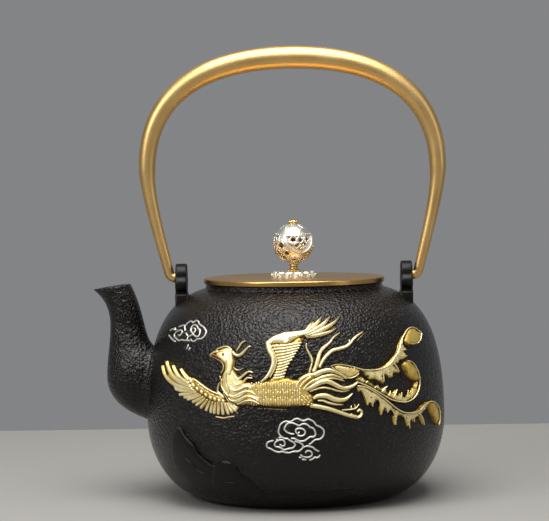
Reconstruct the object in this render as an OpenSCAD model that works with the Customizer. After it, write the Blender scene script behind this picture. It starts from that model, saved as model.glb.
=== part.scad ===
// Cast iron kettle with a swinging brass bail and a lift-off brass lid.
// Origin at the centre of the flat base, +Z up, spout towards -X.

/* [Body] */
// Diameter of the belly at its widest line
belly_d = 160.2; // [150:0.5:172]
// Height of the belly's widest line
belly_z = 43; // [38:0.5:48]
// Diameter of the flat base
base_d = 96.8; // [86:0.5:106]
// Height where the shoulder turns into the neck
shoulder_z = 111; // [106:0.5:116]
// Slope of the shoulder where it meets the neck, in degrees
shoulder_slope = 18; // [12:1:24]
// Outer diameter of the neck
neck_d = 95; // [90:0.5:99]
// Height of the neck above the shoulder's end
neck_h = 3.5; // [2.5:0.1:5]
// Thickness of the iron wall
wall = 3.2; // [2.6:0.1:3.8]
// Thickness of the iron floor
floor_t = 4; // [3.5:0.1:5]
// Width of the flat rim round the mouth
rim_w = 4; // [3.5:0.1:5]

/* [Spout] */
// Distance from the belly to the tip of the lip
spout_reach = 28.3; // [26:0.1:31]
// Distance from the belly to the bulge of the elbow
spout_bulge = 21.6; // [20:0.1:24]
// Height of the lip's tip
spout_tip_z = 112.1; // [108:0.1:115]
// Height of the notch between spout and shoulder
spout_notch_z = 82.4; // [80:0.1:85]
// Height where the underside of the spout leaves the belly
spout_under_z = 41.5; // [39:0.5:44]
// Depth of the throat from front to back
spout_throat = 18.2; // [16:0.1:20]
// Width of the spout at its root
spout_root_w = 32; // [28:0.5:36]
// Width of the spout at its throat
spout_throat_w = 18.6; // [16:0.1:20]
// Thickness of the spout's wall
spout_wall = 3; // [2.4:0.1:3.4]

/* [Relief] */
// How far the phoenix cast on the front stands proud of the belly
relief_h = 2; // [1:0.1:2.2]
// Width of the phoenix from its wing tip to its tail
phoenix_w = 143; // [110:1:146]
// Height of the phoenix's middle above the belly's widest line
phoenix_rise = 27; // [22:0.5:30]

/* [Lugs] */
// Distance between the outer faces of the two lugs
lug_span = 127.4; // [125:0.2:130]
// Thickness of a lug
lug_t = 6.2; // [5:0.1:7.5]
// Height of the hole's axis above the table
lug_hole_z = 117.8; // [116.5:0.1:120]
// Radius of the lug's top lobe
lug_top_r = 6.2; // [5.8:0.1:7]
// Radius of each side lobe
lug_side_r = 4.6; // [4:0.1:5.2]
// Width of the lug's foot
lug_foot_w = 21; // [19:0.5:24]

/* [Handle] */
// Height of the grip's centre line above the lug holes
bail_rise = 117.6; // [114:0.2:121]
// Distance between the centre lines of the legs at their widest
bail_w = 156.4; // [150:0.2:160]
// Height of the widest place above the lug holes
bail_wide_z = 57.6; // [52:0.2:62]
// Diameter of the grip at the top of the arch
grip_d = 12.3; // [10:0.1:13]
// Diameter of a leg at the widest place
leg_d = 8.9; // [8:0.1:9.6]
// Diameter of a leg just above its hook
hook_d = 5.3; // [5.2:0.1:5.8]
// Diameter of the round pin that turns in the lug
pin_d = 5; // [4.4:0.1:5]
// Clearance round the pin, on the radius
pin_clear = 0.08; // [0.02:0.01:0.1]
// Centre-line radius of the bend at the foot of a leg
hook_bend_r = 3.2; // [3:0.1:3.6]

/* [Lid] */
// Diameter of the lid plate
lid_d = 97.2; // [95.5:0.1:100]
// Thickness of the lid plate at its rim
lid_t = 2.8; // [2.2:0.1:3.5]
// Radius of the rounded upper edge
lid_edge_r = 0.7; // [0.3:0.1:1]
// Height of the collar that locates the lid in the mouth
collar_h = 8; // [6:0.5:9]
// Thickness of the collar
collar_t = 1.6; // [1.2:0.1:2.2]
// Gap between collar and mouth, on the radius
collar_clear = 0.6; // [0.4:0.1:1]

/* [Knob] */
// Diameter of the petalled disc
rosette_d = 24.4; // [20:0.2:26]
// Thickness of the petalled disc
rosette_t = 3; // [2:0.1:4]
// Number of petals
petals = 12; // [8:1:16]
// Height of the turned stem
stem_h = 5; // [4:0.1:7]
// Diameter of the stem's collars
stem_d = 5.8; // [5.4:0.1:7]
// Diameter of the stem's waist
waist_d = 3.9; // [3.6:0.1:4.6]
// Diameter of the pierced ball
ball_d = 21.2; // [19:0.1:22]
// Thickness of the ball's wall
ball_wall = 1.3; // [1:0.1:1.6]
// Height of the crown's edge above the ball's centre
crown_z = 4.3; // [3.6:0.1:4.8]
// Number of swags round the ball
swags = 3; // [3:1:4]
// Diameter of the small cap on the ball
cap_d = 5.6; // [5:0.1:7]
// Height of the small cap
cap_h = 2.4; // [2:0.1:3.5]
// Diameter of the rod that holds the knob together
rod_d = 2.4; // [2:0.1:2.6]
// Clearance round the rod, on the radius
rod_clear = 0.06; // [0.04:0.01:0.1]
// Diameter of the washer under the lid
washer_d = 8; // [7:0.1:10]
// Thickness of the washer
washer_t = 0.8; // [0.5:0.1:1.2]
// Gap under the small cap, so that it sits clear of the polished crown
cap_gap = 0.02; // [0.01:0.01:0.1]
// Width of the nut across its flats
nut_af = 5; // [4.6:0.1:6]
// Height of the nut
nut_h = 2; // [1.6:0.1:3]

/* [Hidden] */
$fn = 96;

iron = "#26221f";
brass = "#c49a45";
silver = "#d9d6cc";
gilt = "#d8b45c";

// Overshoot of a cut past the face it opens
cut = 1;

belly_r = belly_d / 2;
base_r = base_d / 2;
neck_r = neck_d / 2;
mouth_r = neck_r - rim_w;
mouth_z = shoulder_z + neck_h;
// Radius of the hollow that runs from the shoulder up to the neck
neck_fillet = 2.2;

lid_r = lid_d / 2;
lid_top = mouth_z + lid_t;
collar_r = mouth_r - collar_clear;

lug_out = lug_span / 2;
lug_in = lug_out - lug_t;

ball_r = ball_d / 2;
rosette_r = rosette_d / 2;
stem_r = stem_d / 2;
rod_r = rod_d / 2;
rod_hole_r = rod_r + rod_clear;
rosette_top = lid_top + rosette_t;
stem_top = rosette_top + stem_h;
// The ball is cut off below where it is as wide as the stem's collar
ball_z = stem_top + sqrt(ball_r^2 - stem_r^2);
// Flat on the crown that carries the small cap
cap_seat_r = cap_d / 2 - 0.6;
cap_seat_z = ball_z + sqrt(ball_r^2 - cap_seat_r^2);

// Point on a cubic curve from a to d with the handles b and c
function bez(a, b, c, d, t) =
    (1 - t)^3 * a + 3 * (1 - t)^2 * t * b + 3 * (1 - t) * t^2 * c + t^3 * d;

function curve(a, b, c, d, n, first = 0) = [for (i = [first:n]) bez(a, b, c, d, i / n)];

function unit(v) = v / norm(v);

// Body outline: [radius, height] pairs from the base's edge to the neck
foot_flare = 15.8;
belly_hold_low = 24.6;
belly_hold_high = 40.9;
shoulder_hold = 21.6;
shoulder_end = [neck_r + 3, shoulder_z];
widest = [belly_r, belly_z];

lower_line = curve([base_r, 0], [base_r + foot_flare, 0], widest - [0, belly_hold_low], widest, 14);
upper_line = curve(widest, widest + [0, belly_hold_high],
                   shoulder_end + shoulder_hold * [cos(shoulder_slope), -sin(shoulder_slope)],
                   shoulder_end, 16, 1);
outer_line = concat(lower_line, upper_line);

// The same outline moved inwards by w, square to its own direction
function inset(line, w) = [for (i = [0:len(line) - 1])
    let (a = line[max(i - 1, 0)], b = line[min(i + 1, len(line) - 1)], d = unit(b - a))
    line[i] + w * [-d.y, d.x]];

inner_line = [for (p = inset(outer_line, wall)) if (p.y > floor_t + 0.5 && p.x > mouth_r + 2) p];

// Concave turn from the sloping shoulder into the upright neck
neck_turn = curve(shoulder_end, shoulder_end + [-neck_fillet * 0.8, neck_fillet * 0.3],
                  [neck_r, shoulder_z + 0.6], [neck_r, shoulder_z + neck_fillet], 5, 1);

module body_form() {
    rotate_extrude()
        polygon(concat([[0, 0]], outer_line, neck_turn, [[neck_r, mouth_z], [0, mouth_z]]));
}

module body_hollow() {
    first = inner_line[0];
    last = inner_line[len(inner_line) - 1];
    rotate_extrude()
        polygon(concat([[0, floor_t], [first.x - 3, floor_t]], inner_line,
                       [[mouth_r, last.y + 1], [mouth_r, mouth_z + cut], [0, mouth_z + cut]]));
}

// Outline of a band along a line, with its half width at the root and at the tip
function band(line, root, tip) =
    let (n = len(line) - 1,
         side = [for (i = [0:n]) let (d = unit(line[min(i + 1, n)] - line[max(i - 1, 0)]))
             (root + (tip - root) * i / n) * [-d.y, d.x]])
    concat([for (i = [0:n]) line[i] + side[i]], [for (i = [n:-1:0]) line[i] - side[i]]);

// Phoenix on the front, in mm from its own middle at its first width: bands, wings and round ends
first_phoenix_w = 143;
neck_bands = [
    band(curve([-43.6, 11], [-41, 12], [-38, 13], [-35, 12.4], 3), 0.5, 3.6),
    band(curve([-34.5, 12], [-35, 4], [-35.5, -4], [-28, -8], 5), 2.8, 5.4),
    band(curve([-32, 12], [-29.5, 11.5], [-27, 12], [-22, 16.2], 4), 1, 0.4),
    band(curve([-31.5, 3.5], [-29.5, -1], [-27, 0.5], [-21.5, 3.8], 4), 1, 0.4)];
body_band = band(curve([-31, -8], [-20, -7], [-8, -6.5], [9, -6.5], 4), 5, 7.4);
train_bands = [
    band(curve([17, 6.6], [23, 6.8], [28, 4], [32, 1], 4), 0.8, 3),
    band(curve([3, -1], [13, 5], [20, 4], [27, -0.5], 5), 1.6, 0.5),
    band(curve([4, -5], [14, -1], [22, -6], [32, -1.5], 5), 1.3, 0.8),
    band(curve([8.6, -9.8], [16, -8], [24, -13], [28.4, -8], 4), 1.6, 0.5),
    band(curve([7.6, -13.2], [15, -14.5], [23, -17.5], [31, -19.5], 3), 1.4, 0.7),
    band(curve([6, 2], [11.5, 12], [14, 15], [22.4, 22], 4), 1, 0.4),
    band(curve([11.9, 5.5], [16, 14], [25, 12], [34, 21.6], 5), 0.9, 0.4)];
tail_bands = [
    band(curve([31, 2], [45, 2], [50, 8], [56, 18], 6), 2, 2.6),
    band(curve([31, -2], [42, -7], [50, -14], [57, -13.2], 5), 2.6, 2.3),
    band(curve([57, -13.2], [63, -12], [63.5, -5], [60.5, 1], 5), 2.3, 2.6),
    band(curve([61.5, -1.5], [60, 2], [58, 5], [54.8, 5.8], 3), 3, 0.8),
    band(curve([31.5, -6], [42, -12], [48, -21], [58.6, -22], 5), 2.4, 2.6),
    band(curve([58.6, -22], [64, -22], [66, -17], [69, -16.5], 4), 2.6, 1.8),
    band(curve([69, -16.5], [72, -18], [73, -24], [73.4, -29], 3), 1.8, 0.8)];
left_wing = [[-54, -0.8], [-58.4, 3.3], [-59.5, 0.7], [-62.5, 4.5], [-63.4, 1.3], [-66.3, 6.1], [-68.8, 3.5],
    [-68, -0.4], [-63, -6.3], [-59.3, -9.8], [-50.5, -14.2], [-45.4, -16.6], [-39, -18], [-34, -17.8],
    [-30, -16], [-29.2, -13], [-35.3, -9.8], [-43.5, -5.7]];
right_wing = [[-14.5, 16.7], [-13.6, 19.4], [-11.5, 21], [-4.9, 23.2], [4.2, 23.9], [8.4, 27.4], [9.3, 25.9],
    [13.4, 29.7], [13.9, 27.7], [17.9, 29.9], [18.5, 28.1], [22.6, 29.6], [18.4, 25.7], [20.9, 24.4],
    [15.3, 21.9], [6.6, 20.2], [3, 17.8], [0.7, 13], [-3.3, 7.3], [-5.6, 0], [-16.9, -1.2], [-12.6, 4.2],
    [-11.2, 9.3], [-13.4, 14.1]];
phoenix_outlines = concat(neck_bands, [body_band], train_bands, tail_bands, [left_wing, right_wing]);
// Round ends as [x, z, radius]: head, rump, root of the tail, its three curls and the plumes' bends
round_ends = [[-35, 12.4, 4.2], [9, -6.5, 7.8], [32, -1.5, 4.8], [60, 17.2, 4.4], [57, -13.2, 2.8],
    [60.8, -0.5, 3.3], [58.6, -22, 3], [69, -16.5, 2.2]];

// The belly moved outwards by the height of the relief, between heights clear of foot and neck
relief_low = belly_z * 0.4;
relief_high = shoulder_z - 4;
raised_line = [for (p = inset(outer_line, -relief_h)) if (p.y > relief_low && p.y < relief_high) p];
raised_ends = [raised_line[len(raised_line) - 1], raised_line[0]];

module phoenix() {
    intersection() {
        rotate_extrude() polygon(concat(raised_line, [for (p = raised_ends) [0, p.y]]));
        translate([0, 0, belly_z + phoenix_rise]) scale(phoenix_w / first_phoenix_w) rotate([90, 0, 0]) {
            for (outline = phoenix_outlines) linear_extrude(belly_d) polygon(outline);
            for (e = round_ends) translate([e.x, e.y]) cylinder(r = e.z, h = belly_d);
        }
    }
}

// A solid through a row of closed rings with the same number of points
module loft(rings) {
    n = len(rings[0]);
    m = len(rings);
    points = [for (r = rings) for (p = r) p];
    sides = [for (j = [0:m - 2]) for (i = [0:n - 1])
        let (a = j * n + i, b = j * n + (i + 1) % n)
        each [[a, b, b + n], [a, b + n, a + n]]];
    ends = [[for (i = [n - 1:-1:0]) i], [for (i = [0:n - 1]) (m - 1) * n + i]];
    polyhedron(points = points, faces = concat([for (f = sides) [f[2], f[1], f[0]]],
                                               [for (e = ends) [for (k = [n - 1:-1:0]) e[k]]]));
}

// Spout: rings span from a front line to a back line, fanned round the notch
spout_sides = 24;
tip_x = -belly_r - spout_reach;
bulge_x = -belly_r - spout_bulge;
notch = [-belly_r + 3, spout_notch_z];
bulge = [bulge_x, spout_notch_z - 17];
lip_slope = 8;
lip_depth = 20.1;
lip_back = [tip_x + lip_depth, spout_tip_z + lip_depth * tan(lip_slope)];
throat_front = [bulge_x + 2.2, spout_notch_z + 10.2];
elbow_steps = 8;
throat_steps = 5;
lip_steps = 7;
rise_steps = throat_steps + lip_steps;

under_line = curve([-belly_r - 0.3, spout_under_z], [-belly_r - 13.4, spout_under_z + 4.8],
                   bulge + [-0.3, -12], bulge, elbow_steps);
front_low = curve(bulge, bulge + [0, 8.5], throat_front - [0, 8.6], throat_front, throat_steps, 1);
front_high = curve(throat_front, throat_front + [0, 8.4], [tip_x + 6.6, spout_tip_z - 5.6],
                   [tip_x, spout_tip_z], lip_steps, 1);
front_line = concat(under_line, front_low, front_high);

throat_back = throat_front + [spout_throat, 1];
back_rise = curve(notch, notch + [-4.6, 5.4], throat_back + [0.7, 6], lip_back, rise_steps, 1);
back_line = concat([for (i = [0:elbow_steps]) notch + [1.2, -1.6] * (1 - i / elbow_steps)], back_rise);

root_w = spout_root_w / 2;
throat_w = spout_throat_w / 2;
half_widths = concat(curve(root_w * 0.95, root_w * 1.05, root_w, root_w * 0.9, elbow_steps),
                     curve(root_w * 0.9, root_w * 0.72, throat_w * 1.06, throat_w, throat_steps, 1),
                     curve(throat_w, throat_w * 0.98, throat_w * 1.02, throat_w * 1.04, lip_steps, 1));

// How far each ring narrows towards its front, where the lip draws to a beak
beaks = concat([for (i = [0:elbow_steps + throat_steps]) 0],
               [for (i = [1:lip_steps]) 0.5 * (i / lip_steps)^2]);

// Ring from front point f to back point b with half width w, drawn in by t
function spout_ring(f, b, w, beak, t = 0) =
    let (c = (f + b) / 2, d = (f - b) / 2, a = norm(d), k = (a - t) / a)
    [for (i = [0:spout_sides - 1])
        let (q = 360 * i / spout_sides, e = c + d * k * cos(q),
             y = (t - w) * sin(q) * (1 - beak * ((1 + cos(q)) / 2)^2))
        [e.x, y, e.y]];

module spout_form() {
    root = spout_ring([-belly_r + wall + 5, spout_under_z + 3], [-belly_r + wall + 5, spout_notch_z - 4],
                      root_w * 0.8, 0);
    loft(concat([root], [for (i = [0:len(front_line) - 1])
        spout_ring(front_line[i], back_line[i], half_widths[i], beaks[i])]));
}

// Round passage through the body's wall, where the spout's channel starts
passage_r = 10;
passage_z = (spout_under_z + spout_notch_z) / 2;
passage_l = wall + 14;

module spout_channel() {
    n = len(front_line);
    mouth = spout_ring(front_line[n - 1] + [0, cut], back_line[n - 1] + [0, cut],
                       half_widths[n - 1], beaks[n - 1], spout_wall - 0.2);
    inlet = [for (x = [-belly_r + 14, -belly_r + 1])
        spout_ring([x, passage_z - passage_r], [x, passage_z + passage_r], passage_r, 0)];
    loft(concat(inlet, [for (i = [4:n - 1])
        spout_ring(front_line[i], back_line[i], half_widths[i], beaks[i], spout_wall)], [mouth]));
}

// The spout is cast on its own and joined to the belly round the passage
module kettle_spout() {
    color(iron) difference() {
        spout_form();
        body_form();
        spout_channel();
    }
}

// Round plate with a small bevel at both faces, along X from x = 0
module lobe(r, t) {
    bevel = 0.7;
    rotate([0, 90, 0]) {
        translate([0, 0, bevel]) cylinder(r = r, h = t - 2 * bevel);
        cylinder(r1 = r - bevel, r2 = r, h = bevel);
        translate([0, 0, t - bevel]) cylinder(r1 = r, r2 = r - bevel, h = bevel);
    }
}

lug_top_z = lug_hole_z + 1.3;
lug_side_z = lug_top_z - 4.7;
lug_foot_z = lug_side_z - lug_side_r - 0.6;
lug_root_z = shoulder_z - 15;

// One lug on the +X side: three lobes on a foot that flares into the shoulder
module lug() {
    translate([lug_in, 0, 0]) {
        translate([0, 0, lug_top_z]) lobe(lug_top_r, lug_t);
        for (s = [-1, 1]) translate([0, s * lug_side_r, lug_side_z]) lobe(lug_side_r, lug_t);
        translate([0, -lug_side_r * 1.5, lug_root_z])
            cube([lug_t, lug_side_r * 3, lug_side_z - lug_root_z]);
    }
    flare = 5;
    rotate([90, 0, 0]) linear_extrude(lug_foot_w, center = true)
        polygon(concat([[lug_out, lug_root_z], [lug_out, lug_foot_z]],
                       curve([lug_in, lug_foot_z], [lug_in, lug_foot_z - 2], [lug_in - flare / 2, shoulder_z - 3],
                             [lug_in - flare, shoulder_z - 4], 5),
                       [[lug_in - flare, lug_root_z]]));
}

module kettle_body() {
    color(iron) difference() {
        union() {
            body_form();
            phoenix();
            lug();
            mirror([1, 0, 0]) lug();
        }
        body_hollow();
        translate([-belly_r - cut, 0, passage_z]) rotate([0, 90, 0]) cylinder(r = passage_r, h = passage_l);
        for (x = [-lug_out, lug_in]) translate([x - cut, 0, lug_hole_z]) rotate([0, 90, 0])
            cylinder(d = pin_d + 2 * pin_clear, h = lug_t + 2 * cut);
    }
}

// Bail: centre line of one half as [x, z], from the hook's pin up to the top of the arch
bail_sides = 18;
hook_gap = 0.4;
hook_x = lug_out + hook_gap;
bend_at = [hook_x, lug_hole_z + hook_bend_r];
bend_turn = 76;
leg_start = bend_at + hook_bend_r * [sin(bend_turn), -cos(bend_turn)];
leg_dir = [cos(bend_turn), sin(bend_turn)];
wide_at = [bail_w / 2, lug_hole_z + bail_wide_z];
apex = [0, lug_hole_z + bail_rise];

bend_line = [for (i = [0:4]) let (q = bend_turn * i / 4) bend_at + hook_bend_r * [sin(q), -cos(q)]];
// How far each curve of the bail holds its direction at its two ends
leg_hold = 21;
wide_hold_low = 13;
wide_hold_high = 41;
apex_hold = 48;
leg_line = curve(leg_start, leg_start + leg_hold * leg_dir, wide_at - [0, wide_hold_low], wide_at, 9, 1);
arch_line = curve(wide_at, wide_at + [0, wide_hold_high], apex + [apex_hold, 0], apex, 14, 1);
half_line = concat(bend_line, leg_line, arch_line);
half_r = concat([for (p = bend_line) hook_d / 2],
                curve(hook_d / 2, hook_d / 2 + 0.5, leg_d / 2 - 1.2, leg_d / 2, 9, 1),
                curve(leg_d / 2, leg_d / 2 + 0.7, grip_d / 2, grip_d / 2, 14, 1));
last = len(half_line) - 1;
bail_line = concat(half_line, [for (i = [last - 1:-1:0]) [-half_line[i].x, half_line[i].y]]);
bail_r = concat(half_r, [for (i = [last - 1:-1:0]) half_r[i]]);

function bail_ring(k) =
    let (n = len(bail_line), c = bail_line[k],
         d = k == 0 ? [1, 0] : k == n - 1 ? [1, 0] : unit(bail_line[k + 1] - bail_line[k - 1]))
    [for (i = [0:bail_sides - 1]) let (q = 360 * i / bail_sides, u = bail_r[k] * cos(q))
        [c.x + u * d.y, bail_r[k] * sin(q), c.y - u * d.x]];

module handle_bail() {
    pin_in = 0.2;
    pin_root = 0.5;
    color(brass) {
        loft([for (k = [0:len(bail_line) - 1]) bail_ring(k)]);
        for (side = [0, 1]) mirror([side, 0, 0])
            translate([lug_in + pin_in, 0, lug_hole_z]) rotate([0, 90, 0])
                cylinder(d = pin_d, h = hook_x + pin_root - lug_in - pin_in);
    }
}

module lid_plate() {
    e = lid_edge_r;
    edge = [for (q = [0:30:90]) [lid_r - e + e * cos(q), lid_t - e + e * sin(q)]];
    color(brass) translate([0, 0, mouth_z]) difference() {
        rotate_extrude() polygon(concat([[0, 0], [lid_r - 0.4, 0], [lid_r, 0.4]], edge, [[0, lid_t]]));
        translate([0, 0, -cut]) cylinder(r = rod_hole_r, h = lid_t + 2 * cut);
    }
}

module lid_collar() {
    lead = 0.5;
    color(brass) translate([0, 0, mouth_z - collar_h]) rotate_extrude()
        polygon([[collar_r - collar_t, 0], [collar_r - lead, 0], [collar_r, lead],
                 [collar_r, collar_h], [collar_r - collar_t, collar_h]]);
}

module knob_rosette() {
    petal_r = rosette_r * sin(180 / petals) * 1.12;
    ring_r = rosette_r - petal_r;
    bevel = 0.6;
    color(silver) translate([0, 0, lid_top]) difference() {
        union() {
            cylinder(r = ring_r + petal_r * 0.4, h = rosette_t - bevel);
            cylinder(r = ring_r - bevel, h = rosette_t);
            for (i = [0:petals - 1]) rotate([0, 0, 360 * (i + 0.5) / petals]) translate([ring_r, 0, 0]) {
                cylinder(r = petal_r, h = rosette_t - bevel);
                translate([0, 0, rosette_t - bevel])
                    cylinder(r1 = petal_r, r2 = petal_r - bevel, h = bevel);
            }
        }
        translate([0, 0, -cut]) cylinder(r = rod_hole_r, h = rosette_t + 2 * cut);
    }
}

module knob_stem() {
    waist = waist_d / 2;
    ring_h = 0.9;
    h = stem_h;
    neck = curve([stem_r - 0.3, ring_h + 0.2], [waist, ring_h + 0.4], [waist, h / 2 - 0.3], [waist + 0.2, h / 2 - 0.2], 5);
    color(gilt) translate([0, 0, rosette_top]) difference() {
        rotate_extrude() polygon(concat([[0, 0], [stem_r, 0], [stem_r, ring_h]], neck,
            [[waist + 0.6, h / 2], [waist + 0.2, h / 2 + 0.2]],
            [for (i = [4:-1:0]) [neck[i].x, h - neck[i].y]],
            [[stem_r, h - ring_h], [stem_r, h], [0, h]]));
        translate([0, 0, -cut]) cylinder(r = rod_hole_r, h = h + 2 * cut);
    }
}

// Hollow ball between two heights measured from its centre, with a hole down the middle
module ball_shell(low, high) {
    difference() {
        intersection() {
            sphere(r = ball_r);
            translate([0, 0, low]) cylinder(r = ball_r + cut, h = high - low);
        }
        sphere(r = ball_r - ball_wall);
        translate([0, 0, -ball_d]) cylinder(r = rod_hole_r, h = 2 * ball_d);
    }
}

// Puts what stands on +Z at the given longitude and latitude of the ball
module on_ball(lon, lat) {
    rotate([0, 0, lon]) rotate([0, 90 - lat, 0]) children();
}

swag_lat = 19.5;
swag_reach = 48.5;
swag_band = 0.85;
first_swag = -68;

module swag_band_form() {
    on_ball(0, swag_lat) translate([0, 0, (ball_r - 0.25) * cos(swag_reach)]) rotate_extrude()
        translate([(ball_r - 0.25) * sin(swag_reach), 0]) circle(r = swag_band, $fn = 24);
}

// Open scroll: a small ring lying in the ball's wall
module scroll(lon, lat, r) {
    on_ball(lon, lat) translate([0, 0, ball_r - ball_wall / 2 - 0.1]) rotate_extrude($fn = 32)
        translate([r, 0]) circle(r = 0.5, $fn = 16);
}

// Round piercings of one bay between two swags: [longitude, latitude, radius]
piercings = [[60, -4, 1.5], [44, -28, 1.2], [76, -28, 1.2], [60, -44, 1.3], [22, -52, 1], [-22, -52, 1]];
// Scrolls that fill the window above one swag: [longitude, latitude, ring radius]
scrolls = [[-22, 13, 1.7], [0, 12, 1.7], [22, 13, 1.7], [-11, -3, 1.6], [11, -3, 1.6], [0, -16, 1.4]];

module each_swag() {
    for (i = [0:swags - 1]) rotate([0, 0, first_swag + 360 * i / swags]) children();
}

module knob_basket() {
    window = swag_reach - 6;
    color(silver) translate([0, 0, ball_z]) {
        difference() {
            ball_shell(-sqrt(ball_r^2 - stem_r^2), crown_z);
            each_swag() {
                on_ball(0, swag_lat) translate([0, 0, ball_r * cos(window)]) cylinder(r = ball_r, h = ball_r);
                for (p = piercings) on_ball(p[0], p[1]) cylinder(r = p[2], h = ball_r + cut);
            }
        }
        intersection() {
            each_swag() {
                swag_band_form();
                for (p = scrolls) scroll(p[0], p[1], p[2]);
            }
            translate([0, 0, -ball_r]) cylinder(r = ball_r + 2, h = ball_r + crown_z);
        }
    }
}

module knob_crown() {
    color(silver) translate([0, 0, ball_z]) ball_shell(crown_z, cap_seat_z - cap_gap - ball_z);
}

module knob_cap() {
    lobes = 6;
    lobe_r = cap_d / 5;
    color(gilt) translate([0, 0, cap_seat_z]) difference() {
        union() {
            cylinder(r = cap_seat_r, h = lobe_r);
            for (i = [0:lobes - 1]) rotate([0, 0, 360 * i / lobes]) translate([cap_d / 2 - lobe_r, 0, lobe_r * 0.8])
                intersection() {
                    sphere(r = lobe_r, $fn = 24);
                    translate([0, 0, lobe_r * 0.2]) cube(2 * lobe_r, center = true);
                }
            translate([0, 0, cap_h - cap_d * 0.28]) sphere(r = cap_d * 0.28, $fn = 32);
        }
        translate([0, 0, -cut]) cylinder(r = rod_hole_r, h = cap_h * 0.6 + cut);
    }
}

module knob_rod() {
    low = mouth_z - washer_t - nut_h - 0.6;
    high = cap_seat_z + cap_h * 0.6 - 0.1;
    color(brass) translate([0, 0, low]) cylinder(r = rod_r, h = high - low);
}

module knob_washer() {
    color(brass) translate([0, 0, mouth_z - washer_t]) difference() {
        cylinder(d = washer_d, h = washer_t);
        translate([0, 0, -cut]) cylinder(r = rod_hole_r, h = washer_t + 2 * cut);
    }
}

module knob_nut() {
    color(brass) translate([0, 0, mouth_z - washer_t - nut_h]) difference() {
        cylinder(d = nut_af / cos(30), h = nut_h, $fn = 6);
        translate([0, 0, -cut]) cylinder(r = rod_hole_r, h = nut_h + 2 * cut);
    }
}

kettle_body();
kettle_spout();
handle_bail();
lid_plate();
lid_collar();
knob_rosette();
knob_stem();
knob_basket();
knob_crown();
knob_cap();
knob_rod();
knob_washer();
knob_nut();
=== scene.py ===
from math import cos, degrees, pi, radians, sin, sqrt

import bmesh
import bpy
from mathutils import Matrix, Vector
from mathutils.bvhtree import BVHTree
from mathutils.geometry import interpolate_bezier


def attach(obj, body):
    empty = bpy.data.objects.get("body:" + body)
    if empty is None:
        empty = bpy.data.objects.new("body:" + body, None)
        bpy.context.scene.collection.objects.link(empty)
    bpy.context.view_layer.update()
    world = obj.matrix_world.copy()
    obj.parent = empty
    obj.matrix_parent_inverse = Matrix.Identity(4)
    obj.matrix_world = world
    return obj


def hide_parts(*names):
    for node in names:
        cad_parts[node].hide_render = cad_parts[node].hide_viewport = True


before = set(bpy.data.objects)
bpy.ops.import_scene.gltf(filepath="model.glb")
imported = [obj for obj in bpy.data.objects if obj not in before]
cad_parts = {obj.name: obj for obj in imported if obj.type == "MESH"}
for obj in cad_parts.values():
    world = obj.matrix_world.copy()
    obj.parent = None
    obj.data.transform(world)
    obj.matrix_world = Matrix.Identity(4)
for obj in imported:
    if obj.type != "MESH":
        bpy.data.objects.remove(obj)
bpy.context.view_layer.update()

MM = 0.001
collection = bpy.context.scene.collection

# --- Camera -------------------------------------------------------------------------------
# A long lens about 1.1 m in front of the kettle and a little above the lid's height, turned
# down to the middle of the kettle and held a touch off level.
frame_w = 549
focal_px = 2042.3
camera_at = Vector((-0.74, -1100, 175.6)) * MM
look_down = radians(2.567)
look_left = radians(0.499)
tilt = radians(0.861)

right = Vector((cos(look_left), sin(look_left), 0))
ahead = Vector((-sin(look_left) * cos(look_down), cos(look_left) * cos(look_down), -sin(look_down)))
up = right.cross(ahead)
camera_x = right * cos(tilt) - up * sin(tilt)
camera_y = right * sin(tilt) + up * cos(tilt)
camera_data = bpy.data.cameras.new("camera")
camera_data.sensor_width = 36
camera_data.lens = focal_px * camera_data.sensor_width / frame_w
camera = bpy.data.objects.new("camera", camera_data)
collection.objects.link(camera)
camera.matrix_world = (Matrix.Translation(camera_at)
                       @ Matrix((camera_x, camera_y, -ahead)).transposed().to_4x4())
bpy.context.scene.camera = camera

# --- Iron shell ---------------------------------------------------------------------------
# The kettle's body: cast iron, 3.2 mm thick, poured in a sand mould as one casting with its
# neck and lugs, and finished with a baked black lacquer over a wrinkled grain.
belly_r = 80.1
belly_z = 43
base_r = 48.4
neck_r = 47.5
shoulder_z = 111
mouth_z = 114.5
wall = 3.2
floor_t = 4
rim_w = 4
round_steps = 192


def point(x, z):
    return Vector((x, 0, z))


def curve(a, b, c, d, steps):
    return interpolate_bezier(a, b, c, d, steps + 1)


def add_piece(name, mesh_in, material, body="kettle", smooth_angle=40):
    bmesh.ops.recalc_face_normals(mesh_in, faces=mesh_in.faces)
    bmesh.ops.scale(mesh_in, vec=(MM, MM, MM), verts=mesh_in.verts)
    mesh = bpy.data.meshes.new(name)
    mesh_in.to_mesh(mesh)
    mesh_in.free()
    mesh.shade_smooth()
    mesh.set_sharp_from_angle(angle=radians(smooth_angle))
    mesh.materials.append(material)
    piece = bpy.data.objects.new(name, mesh)
    collection.objects.link(piece)
    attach(piece, body)
    return piece


def spun(line):
    """A line from the axis out and back to it, turned once round the axis"""
    turned = bmesh.new()
    verts = [turned.verts.new(p) for p in line]
    edges = [turned.edges.new(pair) for pair in zip(verts, verts[1:])]
    bmesh.ops.spin(turned, geom=verts + edges, cent=(0, 0, 0), axis=(0, 0, 1), dvec=(0, 0, 0),
                   angle=2 * pi, steps=round_steps, use_merge=True, use_duplicate=False)
    bmesh.ops.remove_doubles(turned, verts=turned.verts, dist=0.001)
    return turned


def linear(colour):
    channels = [int(colour[i:i + 2], 16) / 255 for i in (1, 3, 5)]
    return tuple(c / 12.92 if c <= 0.04045 else ((c + 0.055) / 1.055) ** 2.4 for c in channels) + (1.0,)


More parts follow.
